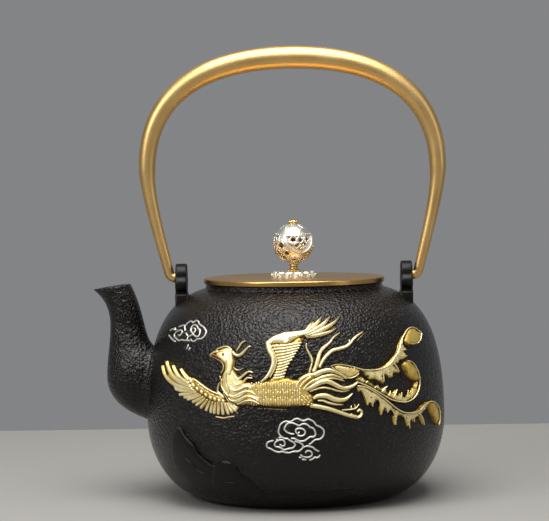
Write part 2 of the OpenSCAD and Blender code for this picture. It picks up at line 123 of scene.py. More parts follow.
def add_node(material, kind, settings=None, links=None):
    node = material.node_tree.nodes.new(kind)
    for name, value in (settings or {}).items():
        if isinstance(name, int) or name in node.inputs:
            node.inputs[name].default_value = value
        else:
            setattr(node, name, value)
    for name, source in (links or {}).items():
        material.node_tree.links.new(source, node.inputs[name])
    return node


def new_material(name, colour, metallic, roughness, more=None):
    material = bpy.data.materials.new(name)
    material.use_nodes = True
    settings = {"Base Color": linear(colour), "Metallic": metallic, "Roughness": roughness, **(more or {})}
    for setting, value in settings.items():
        material.node_tree.nodes["Principled BSDF"].inputs[setting].default_value = value
    return material


def feed(material, setting, source):
    material.node_tree.links.new(source, material.node_tree.nodes["Principled BSDF"].inputs[setting])


def noise(material, grain, detail, places):
    """Soft noise with its grain in millimetres"""
    return add_node(material, "ShaderNodeTexNoise", {"Scale": 1 / (grain * MM), "Detail": detail},
                    {"Vector": places})


def emboss(material, strength, depth, height):
    """Bumps on the surface with their depth in millimetres"""
    bump = add_node(material, "ShaderNodeBump", {"Strength": strength, "Distance": depth * MM},
                    {"Height": height})
    feed(material, "Normal", bump.outputs[0])


def blend(material, one, other, share):
    """A colour between two others"""
    mix = add_node(material, "ShaderNodeMix", {"data_type": "RGBA", 6: linear(one), 7: linear(other)},
                   {0: share})
    return mix.outputs[2]


# Black lacquered cast iron, with the grain of the sand mould: fine wrinkles that catch the light
lacquered_iron = new_material("lacquered_cast_iron", "#0a0807", 0.0, 0.16,
                              {"Specular IOR Level": 0.36, "Specular Tint": linear("#fff9f5")})
grain_mm = 1.3
place = add_node(lacquered_iron, "ShaderNodeTexCoord").outputs["Object"]
warp = noise(lacquered_iron, 3 * grain_mm, 2.0, place)
bent = add_node(lacquered_iron, "ShaderNodeVectorMath", {"operation": "MULTIPLY_ADD", 1: (0.002,) * 3},
                {0: warp.outputs["Color"], 2: place})
wrinkle = add_node(lacquered_iron, "ShaderNodeTexNoise",
                   {"Scale": 1 / (grain_mm * MM), "Detail": 3.0, "Roughness": 0.6},
                   {"Vector": bent.outputs[0]})
cells = add_node(lacquered_iron, "ShaderNodeTexVoronoi",
                 {"feature": "SMOOTH_F1", "Scale": 1 / (1.1 * grain_mm * MM), "Smoothness": 0.6},
                 {"Vector": bent.outputs[0]})
height = add_node(lacquered_iron, "ShaderNodeMath", {"operation": "ADD"},
                  {0: wrinkle.outputs["Fac"], 1: cells.outputs["Distance"]})
emboss(lacquered_iron, 1.0, 0.56, height.outputs[0])

base_edge = point(base_r, 0)
widest = point(belly_r, belly_z)
shoulder_end = point(neck_r + 3, shoulder_z)
shoulder_slope = radians(18)
lower_line = curve(base_edge, point(base_r + 15.8, 0), point(belly_r, belly_z - 24.6), widest, 24)
upper_line = curve(widest, point(belly_r, belly_z + 40.9),
                   shoulder_end + 21.6 * point(cos(shoulder_slope), -sin(shoulder_slope)), shoulder_end, 28)
neck_turn = curve(shoulder_end, shoulder_end + point(-1.8, 0.6), point(neck_r, shoulder_z + 0.6),
                  point(neck_r, shoulder_z + 2.2), 6)
rim_round = 0.5
mouth_r = neck_r - rim_w
outer_line = lower_line + upper_line[1:]


def moved_in(line, distance):
    moved = []
    for i, p in enumerate(line):
        along = (line[min(i + 1, len(line) - 1)] - line[max(i - 1, 0)]).normalized()
        moved.append(p + distance * point(-along.z, along.x))
    return moved


inner_line = [p for p in moved_in(outer_line, wall) if p.z > floor_t + 0.5 and p.x > mouth_r + 2]
shell_line = ([point(0, 0)] + outer_line + neck_turn[1:]
              + [point(neck_r, mouth_z - rim_round), point(neck_r - 0.15, mouth_z - 0.15),
                 point(neck_r - rim_round, mouth_z), point(mouth_r + rim_round, mouth_z),
                 point(mouth_r + 0.15, mouth_z - 0.15), point(mouth_r, mouth_z - rim_round),
                 point(mouth_r, inner_line[-1].z + 1)] + inner_line[::-1]
              + [point(inner_line[0].x - 3, floor_t), point(0, floor_t)])
shell = add_piece("iron_shell", spun(shell_line), lacquered_iron)
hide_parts("kettle_body")

# --- Spout --------------------------------------------------------------------------------
# Cast on its own and joined to the belly: it leaves low down as a rounded elbow, rises straight
# and draws out to a beak that pours without dripping. Its wall is 3 mm round an open channel.
spout_sides = 64
spout_wall = 3
tip = point(-108.4, 112.1)
lip_back = point(-88.3, 114.9)
heel = point(-80.4, 41.5)
heel_hold = point(-93.5, 46.3)
bulge = point(-101.7, 65.4)
notch = point(-77.1, 82.4)
throat_front = point(-99.5, 92.6)
throat_back = point(-81.3, 93.6)
elbow_steps, throat_steps, lip_steps = 16, 10, 14
rise_steps = throat_steps + lip_steps

front_line = (curve(heel, heel_hold, bulge + point(-0.3, -12), bulge, elbow_steps)
              + curve(bulge, bulge + point(0, 8.5), throat_front - point(0, 8.6), throat_front,
                      throat_steps)[1:]
              + curve(throat_front, throat_front + point(0, 8.4), tip + point(6.6, -5.6), tip,
                      lip_steps)[1:])
back_line = ([notch + point(1.2, -1.6) * (1 - i / elbow_steps) for i in range(elbow_steps + 1)]
             + curve(notch, notch + point(-4.6, 5.4), throat_back + point(0.7, 6), lip_back,
                     rise_steps)[1:])
root_w, throat_w = 16, 9.3
widths = (curve(point(root_w * 0.95, 0), point(root_w * 1.05, 0), point(root_w, 0),
                point(root_w * 0.9, 0), elbow_steps)
          + curve(point(root_w * 0.9, 0), point(root_w * 0.72, 0), point(throat_w * 1.06, 0),
                  point(throat_w, 0), throat_steps)[1:]
          + curve(point(throat_w, 0), point(throat_w * 0.98, 0), point(throat_w * 1.02, 0),
                  point(throat_w * 1.04, 0), lip_steps)[1:])
beaks = ([0] * (elbow_steps + throat_steps + 1)
         + [0.5 * (i / lip_steps) ** 2 for i in range(1, lip_steps + 1)])


def body_radius(z):
    for low, high in zip(outer_line, outer_line[1:]):
        if low.z <= z <= high.z:
            return low.x + (high.x - low.x) * (z - low.z) / (high.z - low.z)
    return neck_r


def add_ring(target, front, back, half_width, beak=0, thick=0, flare=0):
    middle, half = (front + back) / 2, (front - back) / 2
    share = 1 - thick / half.length
    ring = bmesh.ops.create_circle(target, cap_ends=False, segments=spout_sides, radius=1)["verts"]
    for v in ring:
        along, across = v.co.x, v.co.y
        narrow = 1 - beak * ((1 + along) / 2) ** 2
        spot = middle + half * share * along + Vector((0, (half_width - thick) * across * narrow, 0))
        clear = Vector((spot.x, spot.y)).length - body_radius(spot.z)
        if flare and clear < flare:
            reach = 1 - max(clear, 0) / flare
            swell = 1 - sqrt(max(0, 1 - reach ** 2))
            spot += (spot - middle).normalized() * abs(across) ** 1.5 * flare * swell
        v.co = spot
    return ring


def ring_edges(ring):
    """Its edges, always in the same order"""
    inside = set(ring)
    return list(dict.fromkeys(e for v in ring for e in v.link_edges if e.other_vert(v) in inside))


def bridge(target, rings):
    for one, other in zip(rings, rings[1:]):
        bmesh.ops.bridge_loops(target, edges=ring_edges(one) + ring_edges(other))


def seat_in_wall(ring):
    """Half way into the belly's wall, so that the joint doesn't show"""
    for v in ring:
        v.co.x = -sqrt((body_radius(v.co.z) - wall / 2) ** 2 - v.co.y ** 2)
    return ring


root_fillet = 4
inlet_r = 10
inlet_z = 62
root_x, root_low, root_high = -78, 40.5, 81
first_inner = 9
spout_mesh = bmesh.new()
sections = list(zip(front_line, back_line, [w.x for w in widths], beaks))
rings = [seat_in_wall(add_ring(spout_mesh, point(root_x, root_low), point(root_x, root_high), root_w + 3))]
rings += [add_ring(spout_mesh, *section, flare=root_fillet) for section in sections]
inner_rings = [add_ring(spout_mesh, *section, spout_wall) for section in sections[first_inner:]]
inlet_ring = seat_in_wall(add_ring(spout_mesh, point(root_x, inlet_z - inlet_r),
                                   point(root_x, inlet_z + inlet_r), inlet_r))
bridge(spout_mesh, rings + inner_rings[::-1] + [inlet_ring, rings[0]])
lip_edges = [e for ring in (rings[-1], inner_rings[-1]) for e in ring_edges(ring)]
bmesh.ops.bevel(spout_mesh, geom=lip_edges, offset=0.6, offset_type="OFFSET", segments=3, profile=0.5,
                affect="EDGES", material=-1)
spout = add_piece("iron_spout", spout_mesh, lacquered_iron, smooth_angle=60)
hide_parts("kettle_spout")


def rod(middle, radius, length, sides=64):
    """A solid cylinder along X"""
    solid = bmesh.new()
    bmesh.ops.create_cone(solid, cap_ends=True, segments=sides, radius1=radius, radius2=radius,
                          depth=length,
                          matrix=Matrix.Translation(middle) @ Matrix.Rotation(pi / 2, 4, "Y"))
    return solid


def as_object(name, mesh_in):
    bmesh.ops.recalc_face_normals(mesh_in, faces=mesh_in.faces)
    mesh = bpy.data.meshes.new(name)
    mesh_in.to_mesh(mesh)
    mesh_in.free()
    part = bpy.data.objects.new(name, mesh)
    collection.objects.link(part)
    return part


def carve(keep, other, operation):
    work = keep.modifiers.new("carve", "BOOLEAN")
    work.operation = operation
    work.object = other
    work.solver = "EXACT"
    with bpy.context.temp_override(object=keep, active_object=keep, selected_objects=[keep]):
        bpy.ops.object.modifier_apply(modifier=work.name)
    bpy.data.objects.remove(other)
    return keep


inlet_x, inlet_depth = -80, 20
inlet = rod((inlet_x, 0, inlet_z), inlet_r, inlet_depth)
bmesh.ops.scale(inlet, vec=(MM, MM, MM), verts=inlet.verts)
carve(shell, as_object("inlet", inlet), "DIFFERENCE")

# --- Lugs ---------------------------------------------------------------------------------
# Two ears cast on the shoulder, each a three-lobed plate 6.2 mm thick on a foot that flares
# into the shoulder. The bail's pin turns in a plain round hole through the plate.
lug_out, lug_t = 63.7, 6.2
lug_in = lug_out - lug_t
lug_hole_z = 117.8
lug_hole_r = 2.58
lug_top_r, lug_side_r = 6.2, 4.6
lug_top_z = lug_hole_z + 1.3
lug_side_z = lug_top_z - 4.7
lug_foot_w = 21
lug_flare = 5
lug_edge = 0.9
lug_root_z = shoulder_z - 14
core_low = 20


def lobe(y, z, radius):
    plate = rod(((lug_in + lug_out) / 2, y, z), radius, lug_t)
    ends = [e for e in plate.edges if abs(e.verts[0].co.x - e.verts[1].co.x) < lug_t / 2]
    bmesh.ops.bevel(plate, geom=ends, offset=lug_edge, segments=3, profile=0.5, affect="EDGES", material=-1)
    return as_object("lobe", plate)


def foot():
    """The block under the lobes, drawn as its outline in XZ and extruded along Y"""
    block = bmesh.new()
    top = lug_side_z - lug_side_r - 0.4
    bend = curve(point(lug_in, top), point(lug_in, top - 2.5),
                 point(lug_in - lug_flare / 2, shoulder_z - 2.6),
                 point(lug_in - lug_flare, shoulder_z - 3.6), 8)
    outline = ([point(lug_out, lug_root_z), point(lug_out, top)] + bend
               + [point(lug_in - lug_flare, lug_root_z)])
    face = block.faces.new([block.verts.new(p + Vector((0, -lug_foot_w / 2, 0))) for p in outline])
    side = bmesh.ops.extrude_face_region(block, geom=[face])["geom"]
    bmesh.ops.translate(block, vec=(0, lug_foot_w, 0),
                        verts=[v for v in side if isinstance(v, bmesh.types.BMVert)])
    uprights = [e for e in block.edges if abs(e.verts[0].co.y - e.verts[1].co.y) < 1]
    bmesh.ops.bevel(block, geom=uprights, offset=1.2, segments=3, profile=0.5, affect="EDGES", material=-1)
    return as_object("foot", block)


def neck_of_lug():
    """The upright between the lobes and the foot"""
    block = bmesh.new()
    size = Vector((lug_t, lug_side_r * 3, lug_side_z - lug_root_z, 1))
    middle = Vector(((lug_in + lug_out) / 2, 0, (lug_root_z + lug_side_z) / 2))
    bmesh.ops.create_cube(block, size=1, matrix=Matrix.Translation(middle) @ Matrix.Diagonal(size))
    bmesh.ops.bevel(block, geom=block.edges[:], offset=lug_edge, segments=3, profile=0.5, affect="EDGES",
                    material=-1)
    return as_object("upright", block)


# Cast iron rubbed smooth where the bail moves against it: the same lacquer with only a faint grain
smooth_iron = new_material("smoothed_cast_iron", "#0c0a09", 0.0, 0.36, {"Specular IOR Level": 0.22})
place = add_node(smooth_iron, "ShaderNodeTexCoord").outputs["Object"]
faint = noise(smooth_iron, 1.4, 3.0, place)
emboss(smooth_iron, 0.35, 0.12, faint.outputs["Fac"])
rubbed = add_node(smooth_iron, "ShaderNodeMapRange", {3: 0.3, 4: 0.46}, {0: faint.outputs["Fac"]})
feed(smooth_iron, "Roughness", rubbed.outputs[0])

for side, name in ((1, "lug_right"), (-1, "lug_left")):
    lug = lobe(0, lug_top_z, lug_top_r)
    for other in (lobe(-lug_side_r, lug_side_z, lug_side_r), lobe(lug_side_r, lug_side_z, lug_side_r),
                  neck_of_lug(), foot()):
        carve(lug, other, "UNION")
    carve(lug, as_object("hole", rod((lug_out, 0, lug_hole_z), lug_hole_r, 3 * lug_t, 48)), "DIFFERENCE")
    core_line = ([point(0, core_low)] + [p for p in moved_in(outer_line, wall / 2) if p.z > core_low]
                 + [point(0, shoulder_z)])
    carve(lug, as_object("core", spun(core_line)), "DIFFERENCE")
    lug_mesh = bmesh.new()
    lug_mesh.from_mesh(lug.data)
    bpy.data.objects.remove(lug)
    bmesh.ops.remove_doubles(lug_mesh, verts=lug_mesh.verts, dist=0.002)
    bmesh.ops.scale(lug_mesh, vec=(side, 1, 1), verts=lug_mesh.verts)
    lug = add_piece(name, lug_mesh, smooth_iron, smooth_angle=35)

# --- Bail ---------------------------------------------------------------------------------
# The swinging handle: solid brass, forged to a taper from 12 mm in the grip to 5 mm at the
# hooks, bent cold, brushed along its length and left satin. Its ends are the hinge pins.
pin_r = 2.5
hook_r, leg_r, grip_r = 2.65, 4.45, 6.15
hook_bend_r = 3.2
bend_turn = radians(76)
hook_x = lug_out + 0.4
leg_hold, wide_hold_low, wide_hold_high, apex_hold = 21, 13, 41, 48
bail_sides = 40

bend_at = point(hook_x, lug_hole_z + hook_bend_r)
bend_line = [bend_at + hook_bend_r * point(sin(q), -cos(q))
             for q in (bend_turn * i / 10 for i in range(11))]
wide_at = point(78.2, lug_hole_z + 57.6)
apex = point(0, lug_hole_z + 117.6)
leg_dir = point(cos(bend_turn), sin(bend_turn))
leg_line = curve(bend_line[-1], bend_line[-1] + leg_hold * leg_dir, wide_at - point(0, wide_hold_low),
                 wide_at, 30)[1:]
arch_line = curve(wide_at, wide_at + point(0, wide_hold_high), apex + point(apex_hold, 0), apex, 44)[1:]
leg_radii = curve(point(hook_r, 0), point(hook_r + 0.5, 0), point(leg_r - 1.2, 0), point(leg_r, 0), 30)[1:]
arch_radii = curve(point(leg_r, 0), point(leg_r + 0.7, 0), point(grip_r, 0), point(grip_r, 0), 44)[1:]
pin_line = [point(lug_in + 0.2, lug_hole_z), point(lug_in + 0.6, lug_hole_z),
            point(hook_x - 0.6, lug_hole_z)]
half_line = pin_line + bend_line + leg_line + arch_line
half_radii = ([pin_r - 0.4, pin_r, pin_r] + [hook_r] * len(bend_line) + [r.x for r in leg_radii]
              + [r.x for r in arch_radii])
bail_line = half_line + [Vector((-p.x, p.y, p.z)) for p in half_line[-2::-1]]
bail_radii = half_radii + half_radii[-2::-1]


def hoop(target, centre, across, rise, ahead, sides):
    """A closed ring of vertices about a point, with its two half axes as vectors"""
    frame_of_ring = Matrix((across, rise, ahead)).transposed().to_4x4()
    frame_of_ring.translation = centre
    return bmesh.ops.create_circle(target, cap_ends=False, segments=sides, radius=1,
                                   matrix=frame_of_ring)["verts"]


def cap(target, ring):
    bmesh.ops.contextual_create(target, geom=ring)


bail_mesh = bmesh.new()
unrolled = bail_mesh.verts.layers.float_vector.new("unrolled")
bail_rings = []
run = 0
for k, (centre, radius) in enumerate(zip(bail_line, bail_radii)):
    ahead_line = (bail_line[min(k + 1, len(bail_line) - 1)] - bail_line[max(k - 1, 0)]).normalized()
    across = Vector((-ahead_line.z, 0, ahead_line.x)) * radius
    rise = Vector((0, -radius, 0))
    ring = hoop(bail_mesh, centre, across, rise, ahead_line, bail_sides)
    run += (centre - bail_line[max(k - 1, 0)]).length
    for v in ring:
        out = v.co - centre
        v[unrolled] = Vector((run, out.dot(across) / radius, out.y)) * MM
    bail_rings.append(ring)
bridge(bail_mesh, bail_rings)
cap(bail_mesh, bail_rings[0])
cap(bail_mesh, bail_rings[-1])

# Satin brass, brushed lengthwise: fine scratches run along the bar and soften its highlights
satin_brass = new_material("brushed_satin_brass", "#c39b58", 1.0, 0.3)
along_bar = add_node(satin_brass, "ShaderNodeAttribute", {"attribute_name": "unrolled"}).outputs["Vector"]
stretched = add_node(satin_brass, "ShaderNodeMapping", {"Scale": (0.03, 1.0, 1.0)}, {"Vector": along_bar})
brush = noise(satin_brass, 0.5, 3.0, stretched.outputs[0])
uneven = noise(satin_brass, 22, 2.0, along_bar)
emboss(satin_brass, 0.18, 0.04, brush.outputs["Fac"])
mottled = add_node(satin_brass, "ShaderNodeMath", {"operation": "MULTIPLY"},
                   {0: brush.outputs["Fac"], 1: uneven.outputs["Fac"]})
gloss = add_node(satin_brass, "ShaderNodeMapRange", {2: 0.6, 3: 0.34, 4: 0.5}, {0: mottled.outputs[0]})
feed(satin_brass, "Roughness", gloss.outputs[0])
feed(satin_brass, "Base Color", blend(satin_brass, "#cfa661", "#e2c083", uneven.outputs["Fac"]))

bail = add_piece("brass_bail", bail_mesh, satin_brass, body="bail", smooth_angle=50)
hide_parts("handle_bail")

# --- Phoenix ------------------------------------------------------------------------------
# The phoenix on the front is cast with the belly in low relief, chased with a graver and then
# covered with gold leaf. Its outline is laid out as it is seen from the front.
frame_h = 521
axis_x = 292
pixel_mm = 0.5
shell_form = bmesh.new()
shell_form.from_mesh(shell.data)
shell_tree = BVHTree.FromBMesh(shell_form)
shell_form.free()


def seen_at(x, y):
    """The spot on the belly behind a place in the camera's view, and the way it faces there"""
    for inward in range(80):
        seen_x = x + 0.25 * inward * (1 if x < axis_x else -1)
        toward = (ahead + camera_x * ((seen_x - frame_w / 2) / focal_px)
                  - camera_y * ((y - frame_h / 2) / focal_px))
        spot = shell_tree.ray_cast(camera_at, toward.normalized())[0]
        if spot:
            break
    spot = spot / MM
    slope = (body_radius(spot.z + 1) - body_radius(spot.z - 1)) / 2
    return spot, Vector((spot.x, spot.y, -slope * Vector((spot.x, spot.y)).length)).normalized()


def through(places, spacing=1.6):
    """Even steps along a smooth line through places in the view"""
    knots = [Vector(p) for p in places]
    line = []
    for i, (a, b) in enumerate(zip(knots, knots[1:])):
        before, after = knots[max(i - 1, 0)], knots[min(i + 2, len(knots) - 1)]
        steps = max(1, round((b - a).length / spacing))
        line += interpolate_bezier(a, a + (b - before) / 6, b - (after - a) / 6, b, steps + 1)[:-1]
    return line + [knots[-1]]


def ridge(target, seats, half, rise=1.2, shape=(1, 1, 0.3), base=0.0, sides=8):
    """A rounded ridge over spots that face outwards, with its width at root, middle and tip"""
    painted_light = target.verts.layers.float["painted_light"]
    last = len(seats) - 1
    rings = []
    for i, (spot, outward) in enumerate(seats):
        t = i / last
        share = shape[0] * (1 - t) ** 2 + 2 * shape[1] * t * (1 - t) + shape[2] * t * t
        forward = (seats[min(i + 1, last)][0] - seats[max(i - 1, 0)][0]).normalized()
        side = forward.cross(outward).normalized()
        wide, high = half * share, rise * sqrt(min(1, share))
        for slip, small in {0: ((-0.55, 0.55), (0, 1)), last: ((0, 1), (0.55, 0.55))}.get(i, ((0, 1),)):
            centre = spot + outward * base + forward * wide * slip
            ring = hoop(target, centre, side * wide * small, outward * high * small, forward, sides)
            for v in ring:
                # Painted light: the height across the ridge, which the gold's colour ramp turns into a
                # painted highlight on top and painted shade at the foot
                v[painted_light] = max(0, (v.co - centre).dot(outward) / high)
            rings.append(ring)
    bridge(target, rings)
    cap(target, rings[0])
    cap(target, rings[-1])


def stroke(target, places, half, rise=1.2, shape=(1, 1, 0.3), base=0.0, sides=8, spacing=1.6):
    """One chased line on the belly, through places in the view"""
    ridge(target, [seen_at(*p) for p in through(places, spacing)], half * pixel_mm, rise, shape, base,
          sides)


def to_segment(p, a, b):
    along = max(0, min(1, (p - a).dot(b - a) / max((b - a).length_squared, 1e-9)))
    return (p - a - along * (b - a)).length


def relief():
    form = bmesh.new()
    # The layer holds painted light: how bright the gold is painted at each vertex
    form.verts.layers.float.new("painted_light")
    return form


def mound(target, outline, rise, edge=2.5, base=0.0, ground=0.45):
    """A low ground with rounded edges: the outline is filled, cut small and raised off the belly"""
    sheet = relief()
    rim = through(list(outline) + [outline[0]], 2.2)[:-1]
    sheet.faces.new([sheet.verts.new((p.x, p.y, 0)) for p in rim])
    sheet.normal_update()
    for _ in range(4):
        bmesh.ops.triangulate(sheet, faces=sheet.faces[:])
        long = [e for e in sheet.edges if e.calc_length() > 3.2]
        if long:
            bmesh.ops.subdivide_edges(sheet, edges=long, cuts=1)
    bmesh.ops.triangulate(sheet, faces=sheet.faces[:])
    raised = bmesh.ops.extrude_face_region(sheet, geom=sheet.faces[:])["geom"]
    bmesh.ops.translate(sheet, vec=(0, 0, 1),
                        verts=[v for v in raised if isinstance(v, bmesh.types.BMVert)])
    painted_light = sheet.verts.layers.float["painted_light"]
    for v in sheet.verts:
        spot, outward = seen_at(v.co.x, v.co.y)
        depth = min(to_segment(v.co.xy, a, b) for a, b in zip(rim, rim[1:] + rim[:1]))
        share = min(1, depth / edge)
        if v.co.z > 0.5:
            # Painted light: ground sets how brightly the gold is painted on the mound's top, and it fades
            # to painted shade towards the edge
            v[painted_light] = ground * share
            v.co = spot + outward * (base - 0.3 + (rise + 0.3) * sqrt(1 - (1 - share) ** 2))
        else:
            v.co = spot - outward * 1.2
    mesh = bpy.data.meshes.new("ground")
    sheet.to_mesh(mesh)
    sheet.free()
    target.from_mesh(mesh)
    bpy.data.meshes.remove(mesh)


def leaf(target, places, half, rise=1.2, base=0.0):
    stroke(target, places, half, rise, (0.35, 1.5, 0.2), base)


# Gold leaf over the chased iron, with painted light: the colour follows each ridge's height, a painted
# highlight pale and bright on the crests and painted shade amber and brown in the grooves, broken by a
# little wear
gold_leaf = new_material("gold_leaf", "#ddc57c", 0.6, 0.4)
painted_light_in = add_node(gold_leaf, "ShaderNodeAttribute", {"attribute_name": "painted_light"}).outputs["Fac"]
place = add_node(gold_leaf, "ShaderNodeTexCoord").outputs["Object"]
worn = noise(gold_leaf, 2.5, 3.0, place)
patch = noise(gold_leaf, 14, 1.0, place)
mixed = add_node(gold_leaf, "ShaderNodeMath", {"operation": "MULTIPLY_ADD", 1: 0.5, 2: -0.25},
                 {0: worn.outputs["Fac"]})
tone = add_node(gold_leaf, "ShaderNodeMath", {"operation": "ADD", "use_clamp": True},
                {0: painted_light_in, 1: mixed.outputs[0]})
ramp = add_node(gold_leaf, "ShaderNodeValToRGB", links={0: tone.outputs[0]})
# Painted shade at the low end of the ramp and a painted highlight at the high end
ramp.color_ramp.elements[0].position = 0.05
ramp.color_ramp.elements[0].color = linear("#5d4114")
ramp.color_ramp.elements[1].position = 0.95
ramp.color_ramp.elements[1].color = linear("#f6efca")
for position, colour in ((0.3, "#bd983a"), (0.6, "#e6cc72")):
    ramp.color_ramp.elements.new(position).color = linear(colour)
feed(gold_leaf, "Base Color", ramp.outputs["Color"])
emboss(gold_leaf, 0.4, 0.12, worn.outputs["Fac"])
gloss = add_node(gold_leaf, "ShaderNodeMapRange", {3: 0.3, 4: 0.48}, {0: patch.outputs["Fac"]})
feed(gold_leaf, "Roughness", gloss.outputs[0])


def add_relief(name, form, material=gold_leaf):
    add_piece(name, form, material, smooth_angle=60)


# Head and neck: a rounded head with a hooked beak, a crest of two plumes and loose hackles
head = relief()
mound(head, [
    (216, 351.6), (218.6, 349.9), (222, 348.1), (226, 347.2), (230, 347.6), (232.8, 350.8), (234.2, 355),
    (235.2, 359.2), (235.3, 364), (234.6, 368.5), (236.5, 373), (240, 377.5), (246, 381.5), (252, 383),
    (254, 390), (254, 400), (246, 404.8), (238.5, 405.4), (233.5, 403.6), (229.4, 400.6), (226, 396.2),
    (223.2, 391), (221.8, 385), (221.8, 379.5), (222.6, 375), (224.2, 370), (224.6, 365.3),
    (222.6, 362.2), (219, 359.6), (216.6, 356.8)], 1.3, 2.4, ground=0.75)
for line in (
        ([(210.2, 355.5), (212.4, 353.7), (215.4, 352.3), (218.5, 351.8)], 1.5, 1.3, (0.25, 0.9, 1.2)),
        ([(210.6, 355.9), (214.6, 357.8), (218.9, 359.8), (222.2, 362.2), (224, 365), (223.8, 369.3),
          (221.7, 373.2)], 0.65, 1.3, (0.6, 1, 0.8)),
        ([(220.8, 376.2), (221.3, 379.2)], 0.8, 1.2, (0.8, 1, 0.8)),
        ([(217, 350.2), (222, 348), (226, 347), (230, 347.8), (233, 351.6)], 1.1, 1.0, (0.5, 1, 0.6),
         0.7),
        ([(232, 350), (232, 356), (232.6, 362), (231.8, 368), (230.4, 374)], 2.0, 1.0, (0.9, 1, 0.9),
         1.1),
        ([(227.8, 372), (226.8, 378), (227, 383), (228.9, 388), (230.6, 392.6)], 1.5, 1.0,
         (0.5, 1.1, 0.6), 1.2),
        ([(223.2, 379.5), (222.8, 384.5), (225, 390), (227.8, 394), (229.6, 396.4)], 1.5, 1.0,
         (0.6, 1.1, 0.6), 1.1),
        ([(224.4, 392.2), (226.8, 396.7), (229, 400.2), (232, 403), (236, 404.6)], 0.9, 1.1,
         (0.6, 1, 0.6), 0.6),
        ([(218.3, 353.2), (220.5, 352), (223.8, 351.6)], 0.8, 0.7, (0.5, 1, 0.5), 1.1)):
    stroke(head, *line)
leaf(head, [(236.6, 351), (239, 347.9), (241.3, 344.1), (243.5, 342.1), (246.3, 341)], 1.3)
stroke(head, [
    (232.4, 351), (235.4, 355), (239, 355.7), (242.3, 353.9), (245.7, 350.3), (249, 347), (251.1, 346.5)],
       2.0, 1.4, (0.6, 1.3, 0.35))
leaf(head, [(233.8, 367.4), (237.3, 370.2), (240.4, 369.9), (243.7, 368.2)], 0.95)
for line in (
        ([(233, 371.5), (235.8, 376.6), (239, 379.3), (241.9, 377.3), (245.2, 374.2), (248, 372.3),
          (250.9, 371.7), (253.3, 372.9)], 1.7, 1.4, (0.7, 1.2, 0.4), 0.4),
        ([(249.8, 374.8), (252.6, 376.4)], 0.8, 1.0, (0.7, 1, 0.6)),
        ([(234, 381.8), (236.8, 384.2), (239.6, 384.6), (242.8, 383.2), (245.7, 380.1), (248, 378),
          (252.9, 378.2)], 1.6, 1.4, (0.7, 1.2, 0.4), 0.6),
        ([(231.2, 386), (234.2, 389.3), (238, 390.5), (241.5, 388.6), (245, 386.9), (250, 386.2),
          (255, 386.4)], 2.1, 1.1, (0.7, 1.2, 0.5), 1.2),
        ([(232.4, 396.4), (236.1, 397.2), (240.4, 396), (244.7, 392.9), (248.4, 391.5), (253.6, 391.6)],
         1.7, 1.1, (0.6, 1.2, 0.5), 1.2),
        ([(230, 398.3), (233.7, 400.9), (238.5, 401.4), (242.8, 399.5), (246.6, 396.8), (251, 395.7),
          (256, 396.9), (260, 398.8)], 1.6, 1.1, (0.6, 1.2, 0.5), 1.2),
        ([(240, 404), (245.5, 401.7), (249.8, 400.5), (255, 400.6), (260.5, 401.4)], 1.4, 1.0,
         (0.5, 1.2, 0.5), 0.8),
        ([(234.8, 406.9), (238.6, 406.8)], 1.1, 1.0, (1, 1, 0.5))):
    stroke(head, *line)
add_relief("phoenix_head", head)
eye = relief()
stroke(eye, [(224.4, 353.9), (224.4, 355.7)], 1.25, 0.75, (0.8, 1.1, 0.8), 1.5)
stroke(eye, [(212.6, 355.2), (216, 355.6), (219.4, 357), (222.4, 359.4)], 1.0, 0.5, (0.4, 1.2, 0.7), 1.25)

# Left wing: four long primaries, a fan of short feathers and a row of round coverts
left_wing = relief()
primaries = (
    ([(192.8, 389), (186, 388.2), (179.5, 386.4), (174.6, 383.9), (169.6, 380), (166.2, 375.8),
      (164.5, 371), (163.7, 366)], 2.8, 1.2),
    ([(191.6, 386.8), (187, 384.5), (181.7, 382.1), (175.9, 378.2), (171.8, 373.6), (169.2, 367.5),
      (168, 361.6)], 3.0, 1.45),
    ([(190.2, 383.6), (187.4, 382), (183.3, 379.6), (179.2, 376.3), (176.4, 371.6), (174.4, 365.8)], 2.8,
     1.55),
    ([(189.8, 379.8), (186.8, 376.6), (184, 372.9), (182, 369)], 2.3, 1.5))
mound(left_wing, [
    (169, 372), (176, 378), (186, 380), (196, 386), (212, 396), (228, 402), (237, 407), (234, 409.6),
    (222, 411.4), (210, 409.4), (200, 405), (190, 398.6), (180, 391.6), (172, 385), (167.4, 379)], 0.5,
      1.4, ground=0.1)
mound(left_wing, [
    (166.4, 374.4), (169.6, 373), (172, 371.6), (176, 374.4), (178.6, 373.4), (182.4, 377),
    (187.4, 378.4), (191, 383), (189.4, 389), (182, 391.4), (175, 387), (169.4, 381)], 0.6, 1.0,
      ground=0.4)
for places, half, rise in primaries:
    stroke(left_wing, places, half, rise, (0.9, 1.2, 0.45))
    stroke(left_wing, places, half * 0.3, 0.35, (0.9, 1, 0.5), rise * 0.86, 6)
